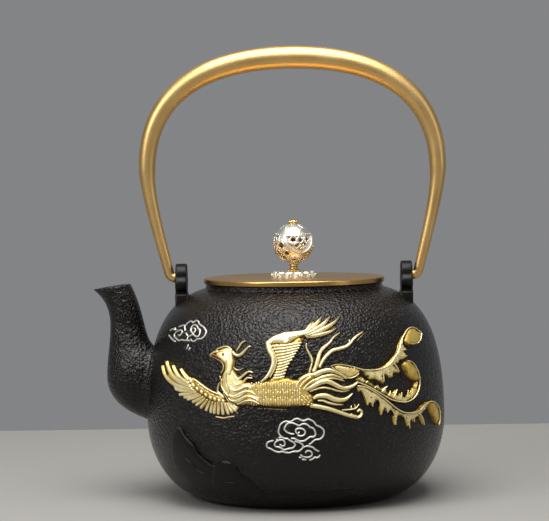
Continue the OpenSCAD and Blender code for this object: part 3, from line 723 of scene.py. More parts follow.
fan = (
    ((194.8, 389.9), (184.5, 388.9), (175.6, 386.6)),
    ((195.6, 391.1), (184.4, 391), (176.3, 388.9)),
    ((197.4, 392.2), (188.2, 394), (180.4, 394.6)),
    ((199, 393.8), (192, 396.4), (185, 397.2)),
    ((201.2, 395.2), (194.2, 397.8), (188.4, 399.2)),
    ((203.6, 396.8), (198.4, 399.8), (193.4, 401.9)),
    ((205.6, 398.2), (201.2, 402), (197, 405)),
    ((208, 399.6), (204.6, 404), (201.4, 407.6)),
    ((210.4, 401), (208.2, 406.4), (206.6, 410.2)),
    ((213, 402), (211.8, 407.8), (211.2, 412.2)),
    ((216, 402.6), (215.2, 408.4), (214.8, 413)),
    ((219.2, 402.8), (218.8, 408.8), (218.8, 413.6)),
    ((222.4, 402.8), (223, 409), (223.6, 413.8)),
    ((225.2, 402.8), (227, 409), (228.8, 413.4)),
    ((227.6, 402.8), (230.2, 408.2), (232.8, 411.8)),
    ((229.6, 402.8), (233, 407.4), (236.2, 410.6)),
    ((231.8, 403.8), (235, 406.4), (238, 408)))
for k, places in enumerate(fan):
    stroke(left_wing, places, 2.05, 1.25 - 0.08 * (k % 2), (0.6, 1.05, 0.95))
    stroke(left_wing, places, 0.4, 0.3, (0.9, 1, 0.4), 1.0, 6)
mound(left_wing, [
    (190, 377.4), (193, 377), (199, 382), (206, 387.4), (214, 392.4), (221, 394.6), (226, 398.8),
    (230.5, 402.2), (224, 402.6), (216, 401.6), (208, 398.2), (200, 392.6), (193.6, 386)], 0.8, 1.5,
      ground=0.3)
stroke(left_wing,
       [(194.6, 378.6), (199, 381.7), (204.5, 385.9), (209.9, 389.7), (214.2, 391.9), (219.4, 394)], 0.85,
       1.3, (0.8, 1, 1), 0.4)
for x, y, length in (
        (192, 380.4, 2.4), (194.6, 385.2, 2), (198.4, 388.8, 1.4), (202.8, 391.8, 1.2),
        (206.9, 394.9, 1.2), (211.6, 397.6, 1.2), (215.9, 399, 1.2), (220.2, 400.4, 1.1),
        (224.3, 401, 1.1)):
    lean = Vector((0.6, 1)).normalized() * length
    stroke(left_wing, [(x - lean.x, y - lean.y), (x + lean.x, y + lean.y)], 2.1, 1.3, (0.8, 1.1, 0.8), 0.5)
for x, y in ((199.2, 384.6), (203.6, 388.2), (208.4, 391.6), (213.6, 394.6), (218.4, 396.8)):
    stroke(left_wing, [(x - 1.2, y - 0.9), (x + 1.4, y + 0.9)], 1.1, 0.6, (0.7, 1, 0.7), 0.7)
leaf(left_wing, [(219.4, 394.8), (218.5, 391.3), (218.8, 387.4), (220, 382.4)], 1.3, 1.2, 0.2)
for line in (
        ([(219, 392.6), (221.6, 394.8), (224.6, 397.6)], 1.9, 1.2, (0.9, 1, 0.8), 0.4),
        ([(216.3, 416.6), (220.7, 417.4), (224.5, 417.9), (229, 417), (234.5, 416.2)], 1.0, 1.0,
         (0.7, 1.1, 0.7)),
        ([(237.1, 412.4), (238, 413.7)], 0.7, 0.7)):
    stroke(left_wing, *line)
add_relief("phoenix_left_wing", left_wing)

# Right wing: raised over the back, with a smooth arm, a barred web and spread tips
right_wing = relief()
web_left = [
    (270.2, 346), (273.6, 351.4), (275.9, 357.1), (276.9, 361.9), (275.5, 367.6), (273.8, 372.4),
    (271.8, 377.4)]
web_right = [
    (301.2, 343.2), (299.2, 348), (296.4, 352.8), (293.2, 358.2), (288.8, 364.6), (286.4, 370.6),
    (284.2, 376.6)]
mound(right_wing, [(270.4, 343)] + web_left[1:] + [(266, 382.6), (276, 384.4), (288, 382)] + web_right[::-1]
      + [(304.6, 338.4), (298, 337.4), (289, 342.4), (278, 343)], 0.9, 1.2, ground=0.4)
mound(right_wing, [
    (266.4, 349), (266.2, 344), (268.4, 339.6), (272, 336.6), (278.3, 333.6), (285.2, 331.8),
    (292.6, 330.8), (298, 331), (303.4, 329.8), (308.4, 327.6), (311, 331), (308, 335.4), (304.6, 336.4),
    (299, 338.2), (294, 341.2), (288.8, 344), (284, 345), (277.1, 344.4), (272.4, 344.6), (271.4, 348.4),
    (269.4, 350.6)], 1.5, 2.0, ground=1.0)
stroke(right_wing, [
    (268.4, 342.6), (269.8, 350.2), (272.6, 355.4), (273.8, 360.8), (273, 365.8), (270.8, 371.2),
    (266.6, 377.4), (261, 382.4)], 2.8, 1.6, (1.2, 1, 0.5))
stroke(right_wing, [
    (270.6, 346.6), (273.8, 351.6), (276, 357.1), (277, 361.8), (275.4, 367.5), (273.4, 372.2),
    (270.2, 377.4)], 1.0, 0.8, (0.8, 1.1, 0.6), 0.7)
bars = 12
for k in range(bars):
    t = k / (bars - 1) * (len(web_left) - 1)
    i, part = min(int(t), len(web_left) - 2), t - min(int(t), len(web_left) - 2)
    west = Vector(web_left[i]).lerp(Vector(web_left[i + 1]), part) + Vector((1.6, 0.8))
    east = Vector(web_right[i]).lerp(Vector(web_right[i + 1]), part)
    middle_of_bar = (west + east) / 2 + Vector((0, 0.7))
    stroke(right_wing, [west, middle_of_bar, east], 1.25, 0.7, (0.8, 1.1, 0.75), 0.75)
for places, half, rise in (
        ([(304.2, 333.6), (307.6, 329.4), (311.3, 323)], 2.2, 1.4),
        ([(304.6, 334.6), (311, 329.4), (316.4, 324), (321, 317.9)], 2.8, 1.5),
        ([(305.6, 335.4), (314, 330.8), (322.6, 325), (329.8, 317.1)], 2.8, 1.6),
        ([(306.6, 336.4), (317, 332.6), (327.6, 327.2), (334, 322.8), (339, 317.4)], 2.7, 1.5),
        ([(307.4, 337.2), (316, 336), (325, 333.8), (331, 331.4), (336, 328.3)], 2.2, 1.3)):
    stroke(right_wing, places, half, rise, (0.8, 1.35, 0.2))
    stroke(right_wing, places, 0.35, 0.3, (1, 1, 0.4), rise * 0.9, 6)
for places in ([(318.6, 323.4), (319.8, 320.4)], [(324, 325.4), (327.4, 319.4)],
               [(311, 326.6), (313.6, 322.4)]):
    leaf(right_wing, places, 1.2, 1.0, 0.3)
add_relief("phoenix_right_wing", right_wing)

# Body: a rounded barrel covered with rows of short upright hair, a loose mane and a dotted haunch
body = relief()
mound(body, [
    (247, 384), (253, 382.6), (262, 381.4), (272, 380), (284.4, 377.6), (288, 377.4), (292.6, 378.8),
    (296.7, 379.4), (300.2, 377.7), (303.6, 374.9), (307.4, 374.2), (313.9, 373), (318, 376), (313, 381),
    (307.6, 386), (309, 391), (313.6, 396), (314.2, 402), (312.6, 407), (302.4, 406.6), (291, 407.4),
    (280, 407.2), (268, 406.9), (256.5, 405.8), (247, 404.6), (244, 396)], 1.7, 5.0, ground=0.5)
for k in range(21):
    x, step = 252.6 + 2.35 * k, 1.6 * sin(2.3 * k)
    cuts = [382.6 + 0.9 * sin(1.7 * k), 390.4 + step, 397.2 - step, 404.8 + 0.5 * sin(1.3 * k)]
    if x > 298:
        cuts[0] += 5
    for part, (top, foot) in enumerate(zip(cuts, cuts[1:])):
        sway = 0.55 * sin(1.9 * k + 2 * part)
        stroke(body, [(x, top + 0.3), (x + sway, (top + foot) / 2), (x - 0.4 * sway, foot - 0.1)],
               1.05, 0.75, (0.7, 1.1, 0.6), 1.5 if part < 2 else 1.3, 6, 2.2)
for places, half in (
        ([(231.5, 388.6), (235.2, 390.4), (239.4, 390), (245, 387.2), (249, 386.6), (253, 388.2)], 1.7),
        ([(230.4, 395), (234, 396.2), (238, 395.4), (244.6, 391.9), (249, 391.2), (253, 392.2),
          (256.6, 394.8)], 1.7),
        ([(231.8, 400), (236, 400.8), (240, 399.6), (246.2, 396.4), (250.4, 396), (255, 397.6),
          (259.6, 400.8)], 1.6),
        ([(239, 404.2), (243, 402.2), (247.6, 400.6), (253, 400.4), (257, 402), (260.4, 404.2)], 1.3)):
    stroke(body, places, half, 1.0, (0.6, 1.1, 0.35), 1.6)
for places in (
        [(296.4, 385.6), (300, 380.6), (306.4, 376)],
        [(299.6, 387.4), (304, 382), (310.4, 377)],
        [(303, 389.4), (307.6, 384.4), (314, 379.6)]):
    stroke(body, places, 1.5, 0.9, (0.6, 1.1, 0.6), 1.4)
for k in range(9):
    x, y = 301.6 + 1.9 * (k % 5), 395.4 + 2.6 * (k // 5) + 1.4 * (k % 2)
    stroke(body, [(x, y), (x + 1.4, y + 1.6)], 1.0, 0.7, (0.8, 1.1, 0.6), 1.55, 6)
for x, y in (
        (302, 400.6), (304.4, 402), (306.6, 400.4), (308.8, 402.2), (310.8, 400.2), (303.4, 404),
        (307.8, 404.4), (311.4, 403.6)):
    stroke(body, [(x - 0.5, y), (x + 0.6, y + 0.2)], 0.95, 0.7, (0.9, 1, 0.9), 1.4, 6)
for x0, x1 in ((258.2, 262.4), (264.2, 266), (268, 272.6), (273.8, 279.6), (280.6, 283.4), (284.6, 286.6)):
    stroke(body, [(x0, 408.2 + 0.06 * (x0 - 258)), (x1, 408.2 + 0.06 * (x1 - 258))], 0.45, 0.6,
           (0.8, 1, 0.8), 0, 6)
add_relief("phoenix_body", body)

# Back plumes and train: thin curling plumes, long leaf-shaped feathers and the drawn-up feet
train = relief()
for line in (
        ([(309.2, 373), (310.6, 367.4), (311.7, 364)], 1.3, 1.2, (1, 1, 0.8)),
        ([(311.9, 362.6), (311.6, 358.8), (308.9, 353.4), (306.2, 347.6), (306.5, 343.8)], 1.5, 1.3,
         (0.9, 1.1, 0.5)),
        ([(313.2, 371.4), (315.6, 367), (317.6, 360), (319.2, 354), (322.4, 348.9), (329.3, 343),
          (333.6, 337.4), (339.3, 333.3)], 2.1, 1.5, (1, 1.2, 0.3)),
        ([(319.4, 367.2), (320.6, 364.4), (323.4, 359.5), (327, 355.1), (332.6, 350.6), (339.5, 348.8),
          (345.6, 346.8), (349.8, 343.4), (354.2, 338), (358.6, 334.6), (362.2, 332.3)], 2.3, 1.6,
         (0.7, 1.35, 0.3)),
        ([(357, 340.6), (360.4, 337), (363.4, 333.9)], 0.5, 0.9, (0.6, 1, 0.4)),
        ([(348.6, 340.6), (349.4, 342.4)], 1.0, 1.2, (0.8, 1, 0.9))):
    stroke(train, *line)
mound(train, [
    (330, 366.2), (335.5, 364.4), (344, 365), (351.6, 366.8), (359.4, 368.9), (360.2, 371.6),
    (357.6, 374.6), (353.4, 377.2), (348.2, 378.7), (343.4, 376.3), (338, 372.8), (333.6, 369.2)], 1.5,
      2.4, ground=0.7)
stroke(train, [(330.4, 366.3), (335.5, 364.7), (344, 365.3), (351.6, 367), (359, 369)], 0.65, 0.8,
       (0.5, 1, 0.8), 1.0)
stroke(train, [(331.4, 367.4), (338, 372.4), (343.4, 376), (348, 378.2), (353.6, 376.8), (358, 373.6)],
       0.8, 0.9, (0.5, 1, 0.7), 1.0)
for k in range(7):
    x = 335 + 3.0 * k
    stroke(train, [(x, 367 + 0.25 * k), (x + 1.6, 370.2 + 0.5 * k)], 0.9, 0.5, (0.7, 1, 0.5), 1.35, 6)
strands = (
    ([(300, 380.6), (306.6, 376.6), (314.7, 374.8), (322, 371.6), (330, 370.4), (338, 372.8),
      (341.8, 375.6), (346, 378.4)], 3.0, 1.7, (0.9, 1.2, 0.4)),
    ([(309, 384), (314.6, 380.6), (322, 377.2), (331, 375.2), (338, 376.6), (342.4, 379)], 2.1, 1.3,
     (0.9, 1.2, 0.5)),
    ([(317, 380.6), (323, 379.2), (333.5, 378.4), (344, 380.9)], 1.3, 1.2, (0.8, 1.2, 0.5)),
    ([(302.6, 389.4), (305.6, 389.4), (311.4, 386.8), (320, 382.5), (326.5, 381.3), (332.4, 383.4),
      (338, 386.4), (343.6, 388.2), (349, 387.3), (353.6, 385.2), (357, 382.4)], 3.1, 1.7,
     (0.9, 1.1, 0.5)),
    ([(310, 391.4), (316, 389.1), (323.5, 387.6), (331, 388.9), (338, 391), (343.5, 391.5),
      (349.2, 390.1)], 1.4, 1.2, (0.7, 1.1, 0.5)),
    ([(313.4, 398.5), (318.6, 395.8), (327, 396.1), (333, 398.8), (340, 400.1), (346.4, 398.6),
      (351.7, 393.3)], 3.4, 1.7, (0.5, 1.4, 0.15)),
    ([(318, 400.5), (323, 400.6), (328, 402.6), (335, 404.2), (343, 404.6)], 1.6, 1.2, (0.6, 1.3, 0.3)),
    ([(311, 405.4), (320, 406.9), (330, 409.2), (340, 412.6), (350, 415.8), (356.4, 417)], 2.3, 1.6,
     (1.1, 1.05, 0.9)),
    ([(350.4, 414.6), (356, 417.4), (360.2, 415.6), (361.4, 411.8), (359.2, 409.6), (357.2, 411.4)], 1.8,
     1.4, (1, 1.1, 0.7)),
    ([(342, 410), (348, 409.6), (352.6, 408.9), (356.2, 407.3), (358.4, 404)], 1.1, 1.3, (0.6, 1.3, 0.4)),
    ([(351.2, 405.6), (350.6, 408.6)], 0.8, 1.0, (0.5, 1, 0.9)),
    ([(355, 407), (354.2, 404.4)], 0.7, 0.9, (0.9, 1, 0.5)))
for places, half, rise, shape in strands:
    stroke(train, places, half, rise, shape)
    if half > 1.7:
        stroke(train, places, half * 0.28, 0.3, shape, rise * 0.88, 6)
add_relief("phoenix_train", train)

# Tail: three long plumes, each with fringed edges and a closed curl at its end
tail = relief()
mound(tail, [
    (360.5, 369), (371, 368.9), (378.1, 368), (385.1, 364.1), (390.7, 358.5), (395.6, 351.5),
    (397.7, 343), (401.9, 334.6), (405.4, 329.4), (404.4, 334.6), (403.3, 343), (404, 346.6),
    (406.1, 349.4), (404, 352.2), (407.2, 356), (404.7, 358.8), (399.1, 361.3), (397.7, 363.4),
    (393.5, 365.5), (399.1, 370.4), (398.4, 373.6), (393.5, 373.2), (392.1, 377.4), (387.9, 378.1),
    (385.1, 375.3), (382.3, 376.7), (384, 381.6), (382.6, 384.4), (378.8, 382.3), (373.9, 379.5),
    (368.9, 380.2), (366.1, 377.4), (363.3, 373.2)], 1.2, 1.5, ground=0.75)
mound(tail, [
    (404.6, 332.5), (408.1, 328.3), (413, 328.3), (416.4, 331.6), (419.4, 331.4), (418.8, 339.6),
    (416.2, 344.8), (411, 346), (406, 345.6), (403.6, 344.8), (402.6, 339.8)], 1.9, 3.0, ground=0.5)
mound(tail, [
    (351.4, 380.2), (359.1, 376), (364, 378.1), (368.2, 381.6), (371.8, 382.3), (375.3, 385.5),
    (378.1, 384.1), (380.2, 387.3), (387.9, 385.1), (386.1, 388.3), (387.9, 392.9), (389.3, 389.7),
    (391.4, 392.9), (396, 388.3), (397.1, 395), (400.5, 391.1), (401.9, 395.7), (405.4, 396.4),
    (406.7, 388.7), (408.2, 392.9), (411.4, 387.6), (413.1, 384.4), (413.5, 381.6), (418.1, 380),
    (418.1, 385.1), (416, 392.2), (411.7, 398.5), (404.7, 402.7), (397.7, 402), (390.7, 399.2),
    (383.7, 395), (376.7, 390.8), (369.6, 387.2), (362.6, 383.7), (357, 381.6)], 1.2, 1.5, ground=0.75)
mound(tail, [
    (402.3, 362), (406.1, 359.9), (410.3, 362), (415.2, 368.3), (418, 376.7), (417.6, 382),
    (413.5, 381.6), (410.3, 380.2), (405.4, 376.7), (402.3, 371.1), (400.7, 365.5)], 2.0, 3.4, ground=0.5)
mound(tail, [
    (355.6, 385.1), (361.9, 385.1), (369.6, 388.7), (376.7, 392.9), (383.7, 397.8), (389.3, 402.7),
    (395.6, 408.3), (402.6, 411.5), (409.6, 411.8), (416, 409.7), (420.2, 405.5), (425.8, 401.3),
    (428.6, 404), (425.1, 409.7), (421.6, 413.2), (424, 420.2), (423, 426.5), (420.2, 422.3),
    (417.4, 416.7), (414.5, 418.8), (413.1, 423.7), (410.7, 420.2), (409.6, 423), (408.2, 430),
    (405.4, 424.4), (403.3, 418.1), (400.9, 416.7), (398.4, 416), (397, 420.2), (394.3, 426.5),
    (391.4, 418.1), (392.8, 413.9), (390, 411.1), (386.8, 413.9), (384.4, 409.7), (383, 412.5),
    (380.2, 416.7), (378.1, 409), (378.8, 402.7), (376, 400.6), (373.9, 404.8), (371.8, 408.3),
    (369.6, 403.4), (366.8, 407.2), (364.7, 401.3), (362.6, 395.7), (360.5, 391.5), (357.7, 392.9),
    (356, 388)], 1.2, 1.5, ground=0.75)
mound(tail, [
    (425, 402), (430.7, 400.6), (435.6, 404.1), (438.2, 411.8), (437.8, 420.2), (436.4, 426),
    (433.6, 423.7), (430.7, 418.8), (427.9, 411.8)], 1.8, 3.0, ground=0.45)
spines = (
    ([(353, 367.4), (360.4, 369.7), (367.4, 370.4), (376.6, 369.7), (382.9, 367.6), (388, 364),
      (391.6, 359.1), (395.2, 353.8), (397.4, 348), (398.6, 342.3), (401.2, 336.9), (404.4, 331.6),
      (407.8, 328.8), (412.6, 328.9), (416.2, 331.6)], 0.8, (0.9, 1.1, 0.7)),
    ([(356.2, 382.2), (362.5, 384.4), (369.5, 387.8), (376.6, 391.8), (382.9, 395.6), (389.9, 399.6),
      (396.9, 401.4), (404.6, 401.8), (410.8, 398.6), (414.8, 393.3), (417, 386.6), (417.4, 379.6),
      (416, 372.4), (413, 366.2), (409.6, 362.2), (405.8, 361)], 0.8, (0.9, 1.1, 0.7)),
    ([(356.6, 386), (362.5, 386.6), (370, 389.8), (377, 394.4), (383.5, 399), (389.5, 404), (396, 409.2),
      (402.5, 412.3), (409.8, 412.7), (416.4, 410.6), (420.8, 406.4), (425.6, 402.4), (430.2, 401.4),
      (434.8, 404.8), (437.2, 411.2), (437.4, 418.8), (436.2, 424.6)], 0.8, (0.9, 1.1, 0.6)),
    ([(416.2, 331.6), (418.8, 334), (418, 340), (415.4, 344)], 0.7, (0.8, 1.1, 0.7)),
    ([(405.6, 343.6), (410.6, 344.6), (414.8, 343.6)], 0.6, (0.7, 1.1, 0.7)),
    ([(404, 365), (408, 368.4), (411.6, 373.6), (414, 379)], 0.6, (0.6, 1.1, 0.5)),
    ([(429.6, 404.4), (432.4, 409), (434.4, 415), (435.4, 421)], 0.6, (0.6, 1.1, 0.5)))
for places, half, shape in spines:
    stroke(tail, places, half, 0.8, shape, 1.2)
vanes = (
    ((397, 350), (400.6, 350.6), (404.6, 350)),
    ((394.6, 355.4), (399.6, 356.4), (405, 356.6)),
    ((390.6, 361.2), (395, 366.8), (397.8, 371.8)),
    ((386.4, 365.6), (389.4, 370.6), (390.6, 375.6)),
    ((380.4, 369.6), (382, 375), (382.8, 381.8)),
    ((372, 371.4), (374.4, 375), (377.6, 380.4)),
    ((365, 371.4), (367.6, 374.8), (370, 378.6)),
    ((365, 383.2), (366.4, 381.2), (368, 382.6)),
    ((373.4, 388), (374.6, 386.8), (376, 386.2)),
    ((380.4, 392.2), (382.4, 389.2), (386.2, 386)),
    ((387, 396), (388.4, 393.4), (389.2, 390.8)),
    ((392.2, 398), (394, 393.6), (395.8, 389.4)),
    ((398.8, 399.4), (399.8, 395.6), (400.3, 392.4)),
    ((405, 399.6), (406.2, 394.4), (406.7, 390.2)),
    ((409.8, 396), (410.8, 392.4), (411.2, 389)),
    ((360.6, 388.6), (364.4, 396), (366.8, 405)),
    ((366.2, 391.4), (369.6, 398), (371.8, 406.4)),
    ((373, 395.8), (378.8, 401), (380, 414.6)),
    ((381.8, 401.2), (384.4, 405), (386.6, 412.4)),
    ((389, 406.8), (393.6, 415), (394.4, 424.6)),
    ((398.4, 413), (402.4, 415.6), (404.6, 420.4)),
    ((404.8, 414.4), (407.4, 420.4), (408.2, 428)),
    ((410.6, 414.4), (412.2, 418.4), (413, 422)),
    ((417, 412), (420.6, 417.6), (422.8, 424.6)))
for places in vanes:
    stroke(tail, places, 1.0, 0.6, (0.6, 1.3, 0.5), 0.95, 6)
add_relief("phoenix_tail", tail)
# Small pits in the plumes, where the dark iron shows through the leaf
pits = relief()
for x, y, half in (
        (402.6, 350.6, 0.9), (400.6, 360.8, 1.1), (396, 366.6, 1.3), (388.2, 372.8, 0.8),
        (383.4, 376.6, 0.8), (375.6, 382.6, 0.8), (380.4, 384.2, 1.0), (366.8, 376, 0.8),
        (370, 397.2, 1.3), (383.6, 407.8, 1.1), (404.4, 417.4, 0.7), (416.8, 414.4, 0.7),
        (372.2, 384.4, 0.6)):
    stroke(pits, [(x - 0.6, y), (x + 0.7, y + 0.5)], half, 0.5, (0.8, 1.1, 0.8), 0.9, 8, 0.6)
add_relief("phoenix_pits", pits, smooth_iron)

# Eye and mouth: red-brown lacquer in the cut hollows
red_lacquer = new_material("red_brown_lacquer", "#9a4a1c", 0.0, 0.35)
place = add_node(red_lacquer, "ShaderNodeTexCoord").outputs["Object"]
cloudy = add_node(red_lacquer, "ShaderNodeTexNoise", {"Scale": 1 / (1.5 * MM)}, {"Vector": place})
feed(red_lacquer, "Base Color", blend(red_lacquer, "#7c3512", "#b86a2a", cloudy.outputs["Fac"]))
add_relief("phoenix_eye", eye, red_lacquer)

# --- Clouds -------------------------------------------------------------------------------
# Scroll clouds inlaid in silver wire: grooves are cut into the cast iron, the wire is hammered
# into them and stands a hair proud of the lacquer.
silver_wire = new_material("inlaid_silver_wire", "#e6e2d9", 0.9, 0.42)
place = add_node(silver_wire, "ShaderNodeTexCoord").outputs["Object"]
hammered = noise(silver_wire, 0.9, 2.0, place)
emboss(silver_wire, 0.3, 0.08, hammered.outputs["Fac"])
feed(silver_wire, "Base Color", blend(silver_wire, "#d8d3c8", "#f6f4ee", hammered.outputs["Fac"]))

upper_cloud = (
    [(185.3, 330.6), (184.6, 327.4), (186, 325), (188.1, 322.9), (190.5, 321.3), (192.3, 321.6),
     (193.3, 322.9), (194.7, 321.5), (196.8, 320.6), (198.6, 321.8), (199.3, 323.9), (201.4, 325.5),
     (203.5, 327.1), (205.2, 329.2), (206.3, 332), (205.2, 335.1), (203.5, 337.3), (201, 338.8),
     (198.9, 338.8), (197.2, 339), (195.4, 340.8), (193.7, 341.3), (191.9, 340.8), (190.9, 339.4),
     (189.8, 340.6), (188.1, 340.6), (186.3, 340.4), (183.9, 340.4), (181.7, 339.7), (179.6, 340.6),
     (177.9, 340.1), (176.1, 338.3), (174.4, 336.9), (174.4, 334.8), (175.4, 333), (177.2, 331.3),
     (179.3, 330.4), (181.4, 330.2), (182.4, 331.6), (181.7, 333.7), (179.6, 335.5), (178.6, 334.8)],
    [(188.1, 336.6), (189.8, 335.9), (191.9, 334.8), (193.7, 334.8), (195.4, 336.2), (197.5, 336.6),
     (199.3, 335.1), (200, 332.3), (200, 329.9), (198.2, 328.5), (197.2, 326.4), (195.4, 325),
     (193.3, 325.3), (191.9, 327.1), (191, 329.5), (191.2, 331.6), (192.6, 332.9), (194.4, 332.3),
     (195.6, 330.6), (195.1, 328.5), (193.7, 328.1)],
    [(193, 333), (193.1, 334.8)],
    [(188.1, 336.6), (187.2, 339.4), (186.3, 340.4)],
    [(186, 333), (187.7, 335.9)],
    [(178.9, 326.9), (181.4, 326), (184.2, 325.3), (185.3, 326.2)],
    [(175.4, 327.8), (175.3, 330.2)],
    [(170.3, 330.6), (171.9, 329.2), (173.7, 329.2), (175.4, 327.8)],
    [(168.9, 335), (170.9, 338), (172.6, 339.7), (175.4, 341.6)],
    [(188.6, 345.1), (186.7, 348.7)],
    [(190.2, 348.1), (188.8, 349.9)])
lower_cloud = (
    [(279.4, 427.2), (280.3, 424.7), (283, 422.3), (286, 421.3), (289.4, 421.8), (291.9, 421.1),
     (294.3, 419.3), (297.3, 418.6), (300.2, 419.6), (303.2, 420.8), (305.6, 420.1), (308.1, 419.1),
     (311, 420.1), (314, 422), (316.4, 425.2), (319.9, 426.7), (323.4, 429.6), (324, 433.1),
     (322.8, 436.5), (319.9, 439.2), (316, 439.5), (313.5, 440.9), (311.5, 442.9), (309.1, 444.4)],
    [(293.9, 434.1), (290.4, 433.6), (287, 432.1), (284.3, 429.2), (285.5, 426.2), (288, 423.3),
     (291.9, 423), (295.8, 424.2), (299.3, 425.7), (301.7, 424.2), (305.2, 424), (308.1, 425.2),
     (310.1, 427.2), (313, 428.2), (315, 431.1), (315.5, 434.6), (313.5, 437), (310.6, 436.8),
     (307.6, 438.5), (304.7, 440.7), (300.7, 441.2), (297.3, 440), (294.3, 438.5), (291.4, 438.5)],
    [(299.3, 432.1), (297.3, 433.6), (295.8, 431.6), (296.3, 429.2), (299.7, 428.4), (303.2, 429.2),
     (305.2, 431.6), (304.2, 434.6), (301.2, 436), (297.8, 435.3)],
    [(279.4, 427.2), (278.4, 431.6), (279.6, 434.6), (282.1, 437), (284.5, 438.5), (287.5, 438.7),
     (289.9, 440.5), (292.9, 441.9), (295.3, 444.4), (294.3, 446.3), (292.4, 448.1), (288.5, 448.6),
     (284.5, 449.8), (281.6, 448.3), (279.1, 447.1), (276.2, 446.6), (274.5, 444.9), (275.7, 441.9),
     (279.1, 440.2), (283, 440), (284.8, 442.4), (284.5, 445.4), (282.1, 446.1), (280.1, 444.4)],
    [(273.2, 440.5), (269.8, 441.4), (267.3, 442.7), (266.6, 445), (267.3, 447.3), (270.8, 448.8),
     (274.2, 450.8), (278.6, 452.2), (282.6, 451.5), (285.5, 452.5), (289.4, 452.7), (293.4, 451.5),
     (297.3, 451.5), (300.2, 450.3), (302.2, 448.3), (303.2, 445.9), (301.2, 443.4), (298.3, 442.2),
     (295, 441.2)],
    [(276.6, 439.4), (277.4, 439.4)],
    [(279.1, 437.8), (282.1, 437)])
small_cloud = (
    [(303.7, 447.1), (306.6, 446.1), (310.1, 446.6), (313, 447.3), (315, 449.3), (318.9, 451.3)],
    [(305.4, 452.7), (307.1, 450.8), (310.1, 451), (311.8, 452.7), (311.8, 455.2), (309.1, 457.2),
     (306.1, 457.2), (303.2, 456.7), (300.7, 454.9)],
    [(319.9, 455.2), (317.9, 457.6), (314.5, 457.4), (312.5, 459.1), (309.6, 460.1)],
    [(299.3, 457.4), (301.2, 457.4)],
    [(302.2, 459.4), (306.1, 459.6)])
for name, lines in (
        ("cloud_upper", upper_cloud), ("cloud_lower", lower_cloud), ("cloud_small", small_cloud)):
    cloud = relief()
    for places in lines:
        stroke(cloud, places, 0.95, 0.4, (0.85, 1.1, 0.85), 0.02, 8, 1.2)
    add_relief(name, cloud, silver_wire)

# --- Rocks --------------------------------------------------------------------------------
# A rocky shore in very low relief round the foot, cast with the belly: smooth lacquered iron with
# soft ledges, where the wrinkled ground of the belly stops.
rocks = relief()
mound(rocks, [
    (178, 424), (181.8, 428.7), (186.2, 436.2), (193, 443.6), (196.7, 451.1), (203.6, 458.6),
    (211, 464.2), (217.3, 466), (220, 474), (226, 484), (234, 492), (222, 496), (208, 494), (196, 488),
    (184, 478), (175, 466), (171, 452), (172, 438)], 0.9, 3.0)
mound(rocks, [
    (212, 468), (219.8, 461), (226, 460.4), (231, 462.9), (237.2, 468.5), (242, 473.5), (248.4, 479.7),
    (254.6, 484.7), (260, 489), (266, 494), (252, 498), (234, 498), (220, 495), (212, 484)], 1.2, 3.0)
mound(rocks, [
    (258, 494), (265.8, 490.9), (275.7, 489.7), (289.4, 488.4), (301.8, 489.7), (314.3, 492.1),
    (324.2, 491.5), (338, 490.3), (347.9, 489.7), (356.6, 490.9), (366, 494), (350, 497), (320, 499),
    (290, 499.5), (268, 498)], 0.7, 2.0)
for line in (
        ([(185.5, 456.7), (191.8, 462.3), (198, 469.1), (206.7, 473.5)], 1.5, 0.7, (0.5, 1.2, 0.4), 0.8),
        ([(222.2, 480.9), (228.5, 481.2), (236, 481.8)], 1.4, 0.6, (0.5, 1.2, 0.4), 1.1),
        ([(181.8, 429.5), (187, 438.6), (193.6, 445), (197.6, 452.4), (204.4, 459.4), (211.8, 464.8)],
         1.2, 0.5, (0.7, 1.2, 0.6), 0.7)):
    stroke(rocks, *line)
add_relief("rocky_shore", rocks, smooth_iron)

# --- Lid ----------------------------------------------------------------------------------
# A flat disc of sheet brass with a collar soldered under it that drops into the mouth. It is
# turned on a lathe, which leaves fine rings on its face and fine lines round its edge.
def turned_metal(name, dark, light, roughness, groove_mm=0.35):
    """Metal turned on a lathe: grooves follow the distance from the axis and the height"""
    metal = new_material(name, light, 1.0, roughness)
    place = add_node(metal, "ShaderNodeTexCoord").outputs["Object"]
    parts = add_node(metal, "ShaderNodeSeparateXYZ", links={0: place})
    flat = add_node(metal, "ShaderNodeCombineXYZ", links={0: parts.outputs[0], 1: parts.outputs[1]})
    reach = add_node(metal, "ShaderNodeVectorMath", {"operation": "LENGTH"}, {0: flat.outputs[0]})
    profile = add_node(metal, "ShaderNodeCombineXYZ",
                       links={0: reach.outputs["Value"], 2: parts.outputs[2]})
    grooves = noise(metal, groove_mm, 2.0, profile.outputs[0])
    cloudy = noise(metal, 16, 2.0, place)
    emboss(metal, 0.25, 0.04, grooves.outputs["Fac"])
    feed(metal, "Base Color", blend(metal, dark, light, cloudy.outputs["Fac"]))
    satin = add_node(metal, "ShaderNodeMapRange", {3: roughness - 0.08, 4: roughness + 0.1},
                     {0: grooves.outputs["Fac"]})
    feed(metal, "Roughness", satin.outputs[0])
    return metal


def finish_nodes(names, material):
    for name in names:
        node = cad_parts[name]
        node.data.materials.clear()
        node.data.materials.append(material)


finish_nodes(("lid_plate", "lid_collar"), turned_metal("turned_sheet_brass", "#b48744", "#d8b270", 0.3))

# --- Knob ---------------------------------------------------------------------------------
# A pierced ball on a petalled disc: the disc and the ball are silver-plated castings, the stem
# and the small flower on top are gilt, and one rod with a nut under the lid holds them together.
finish_nodes(("knob_stem", "knob_cap"), turned_metal("gilded_brass", "#c9a85c", "#ecd698", 0.26, 0.5))
finish_nodes(("knob_rod", "knob_washer", "knob_nut"),
             turned_metal("drawn_brass", "#a98545", "#c0a062", 0.34, 0.25))

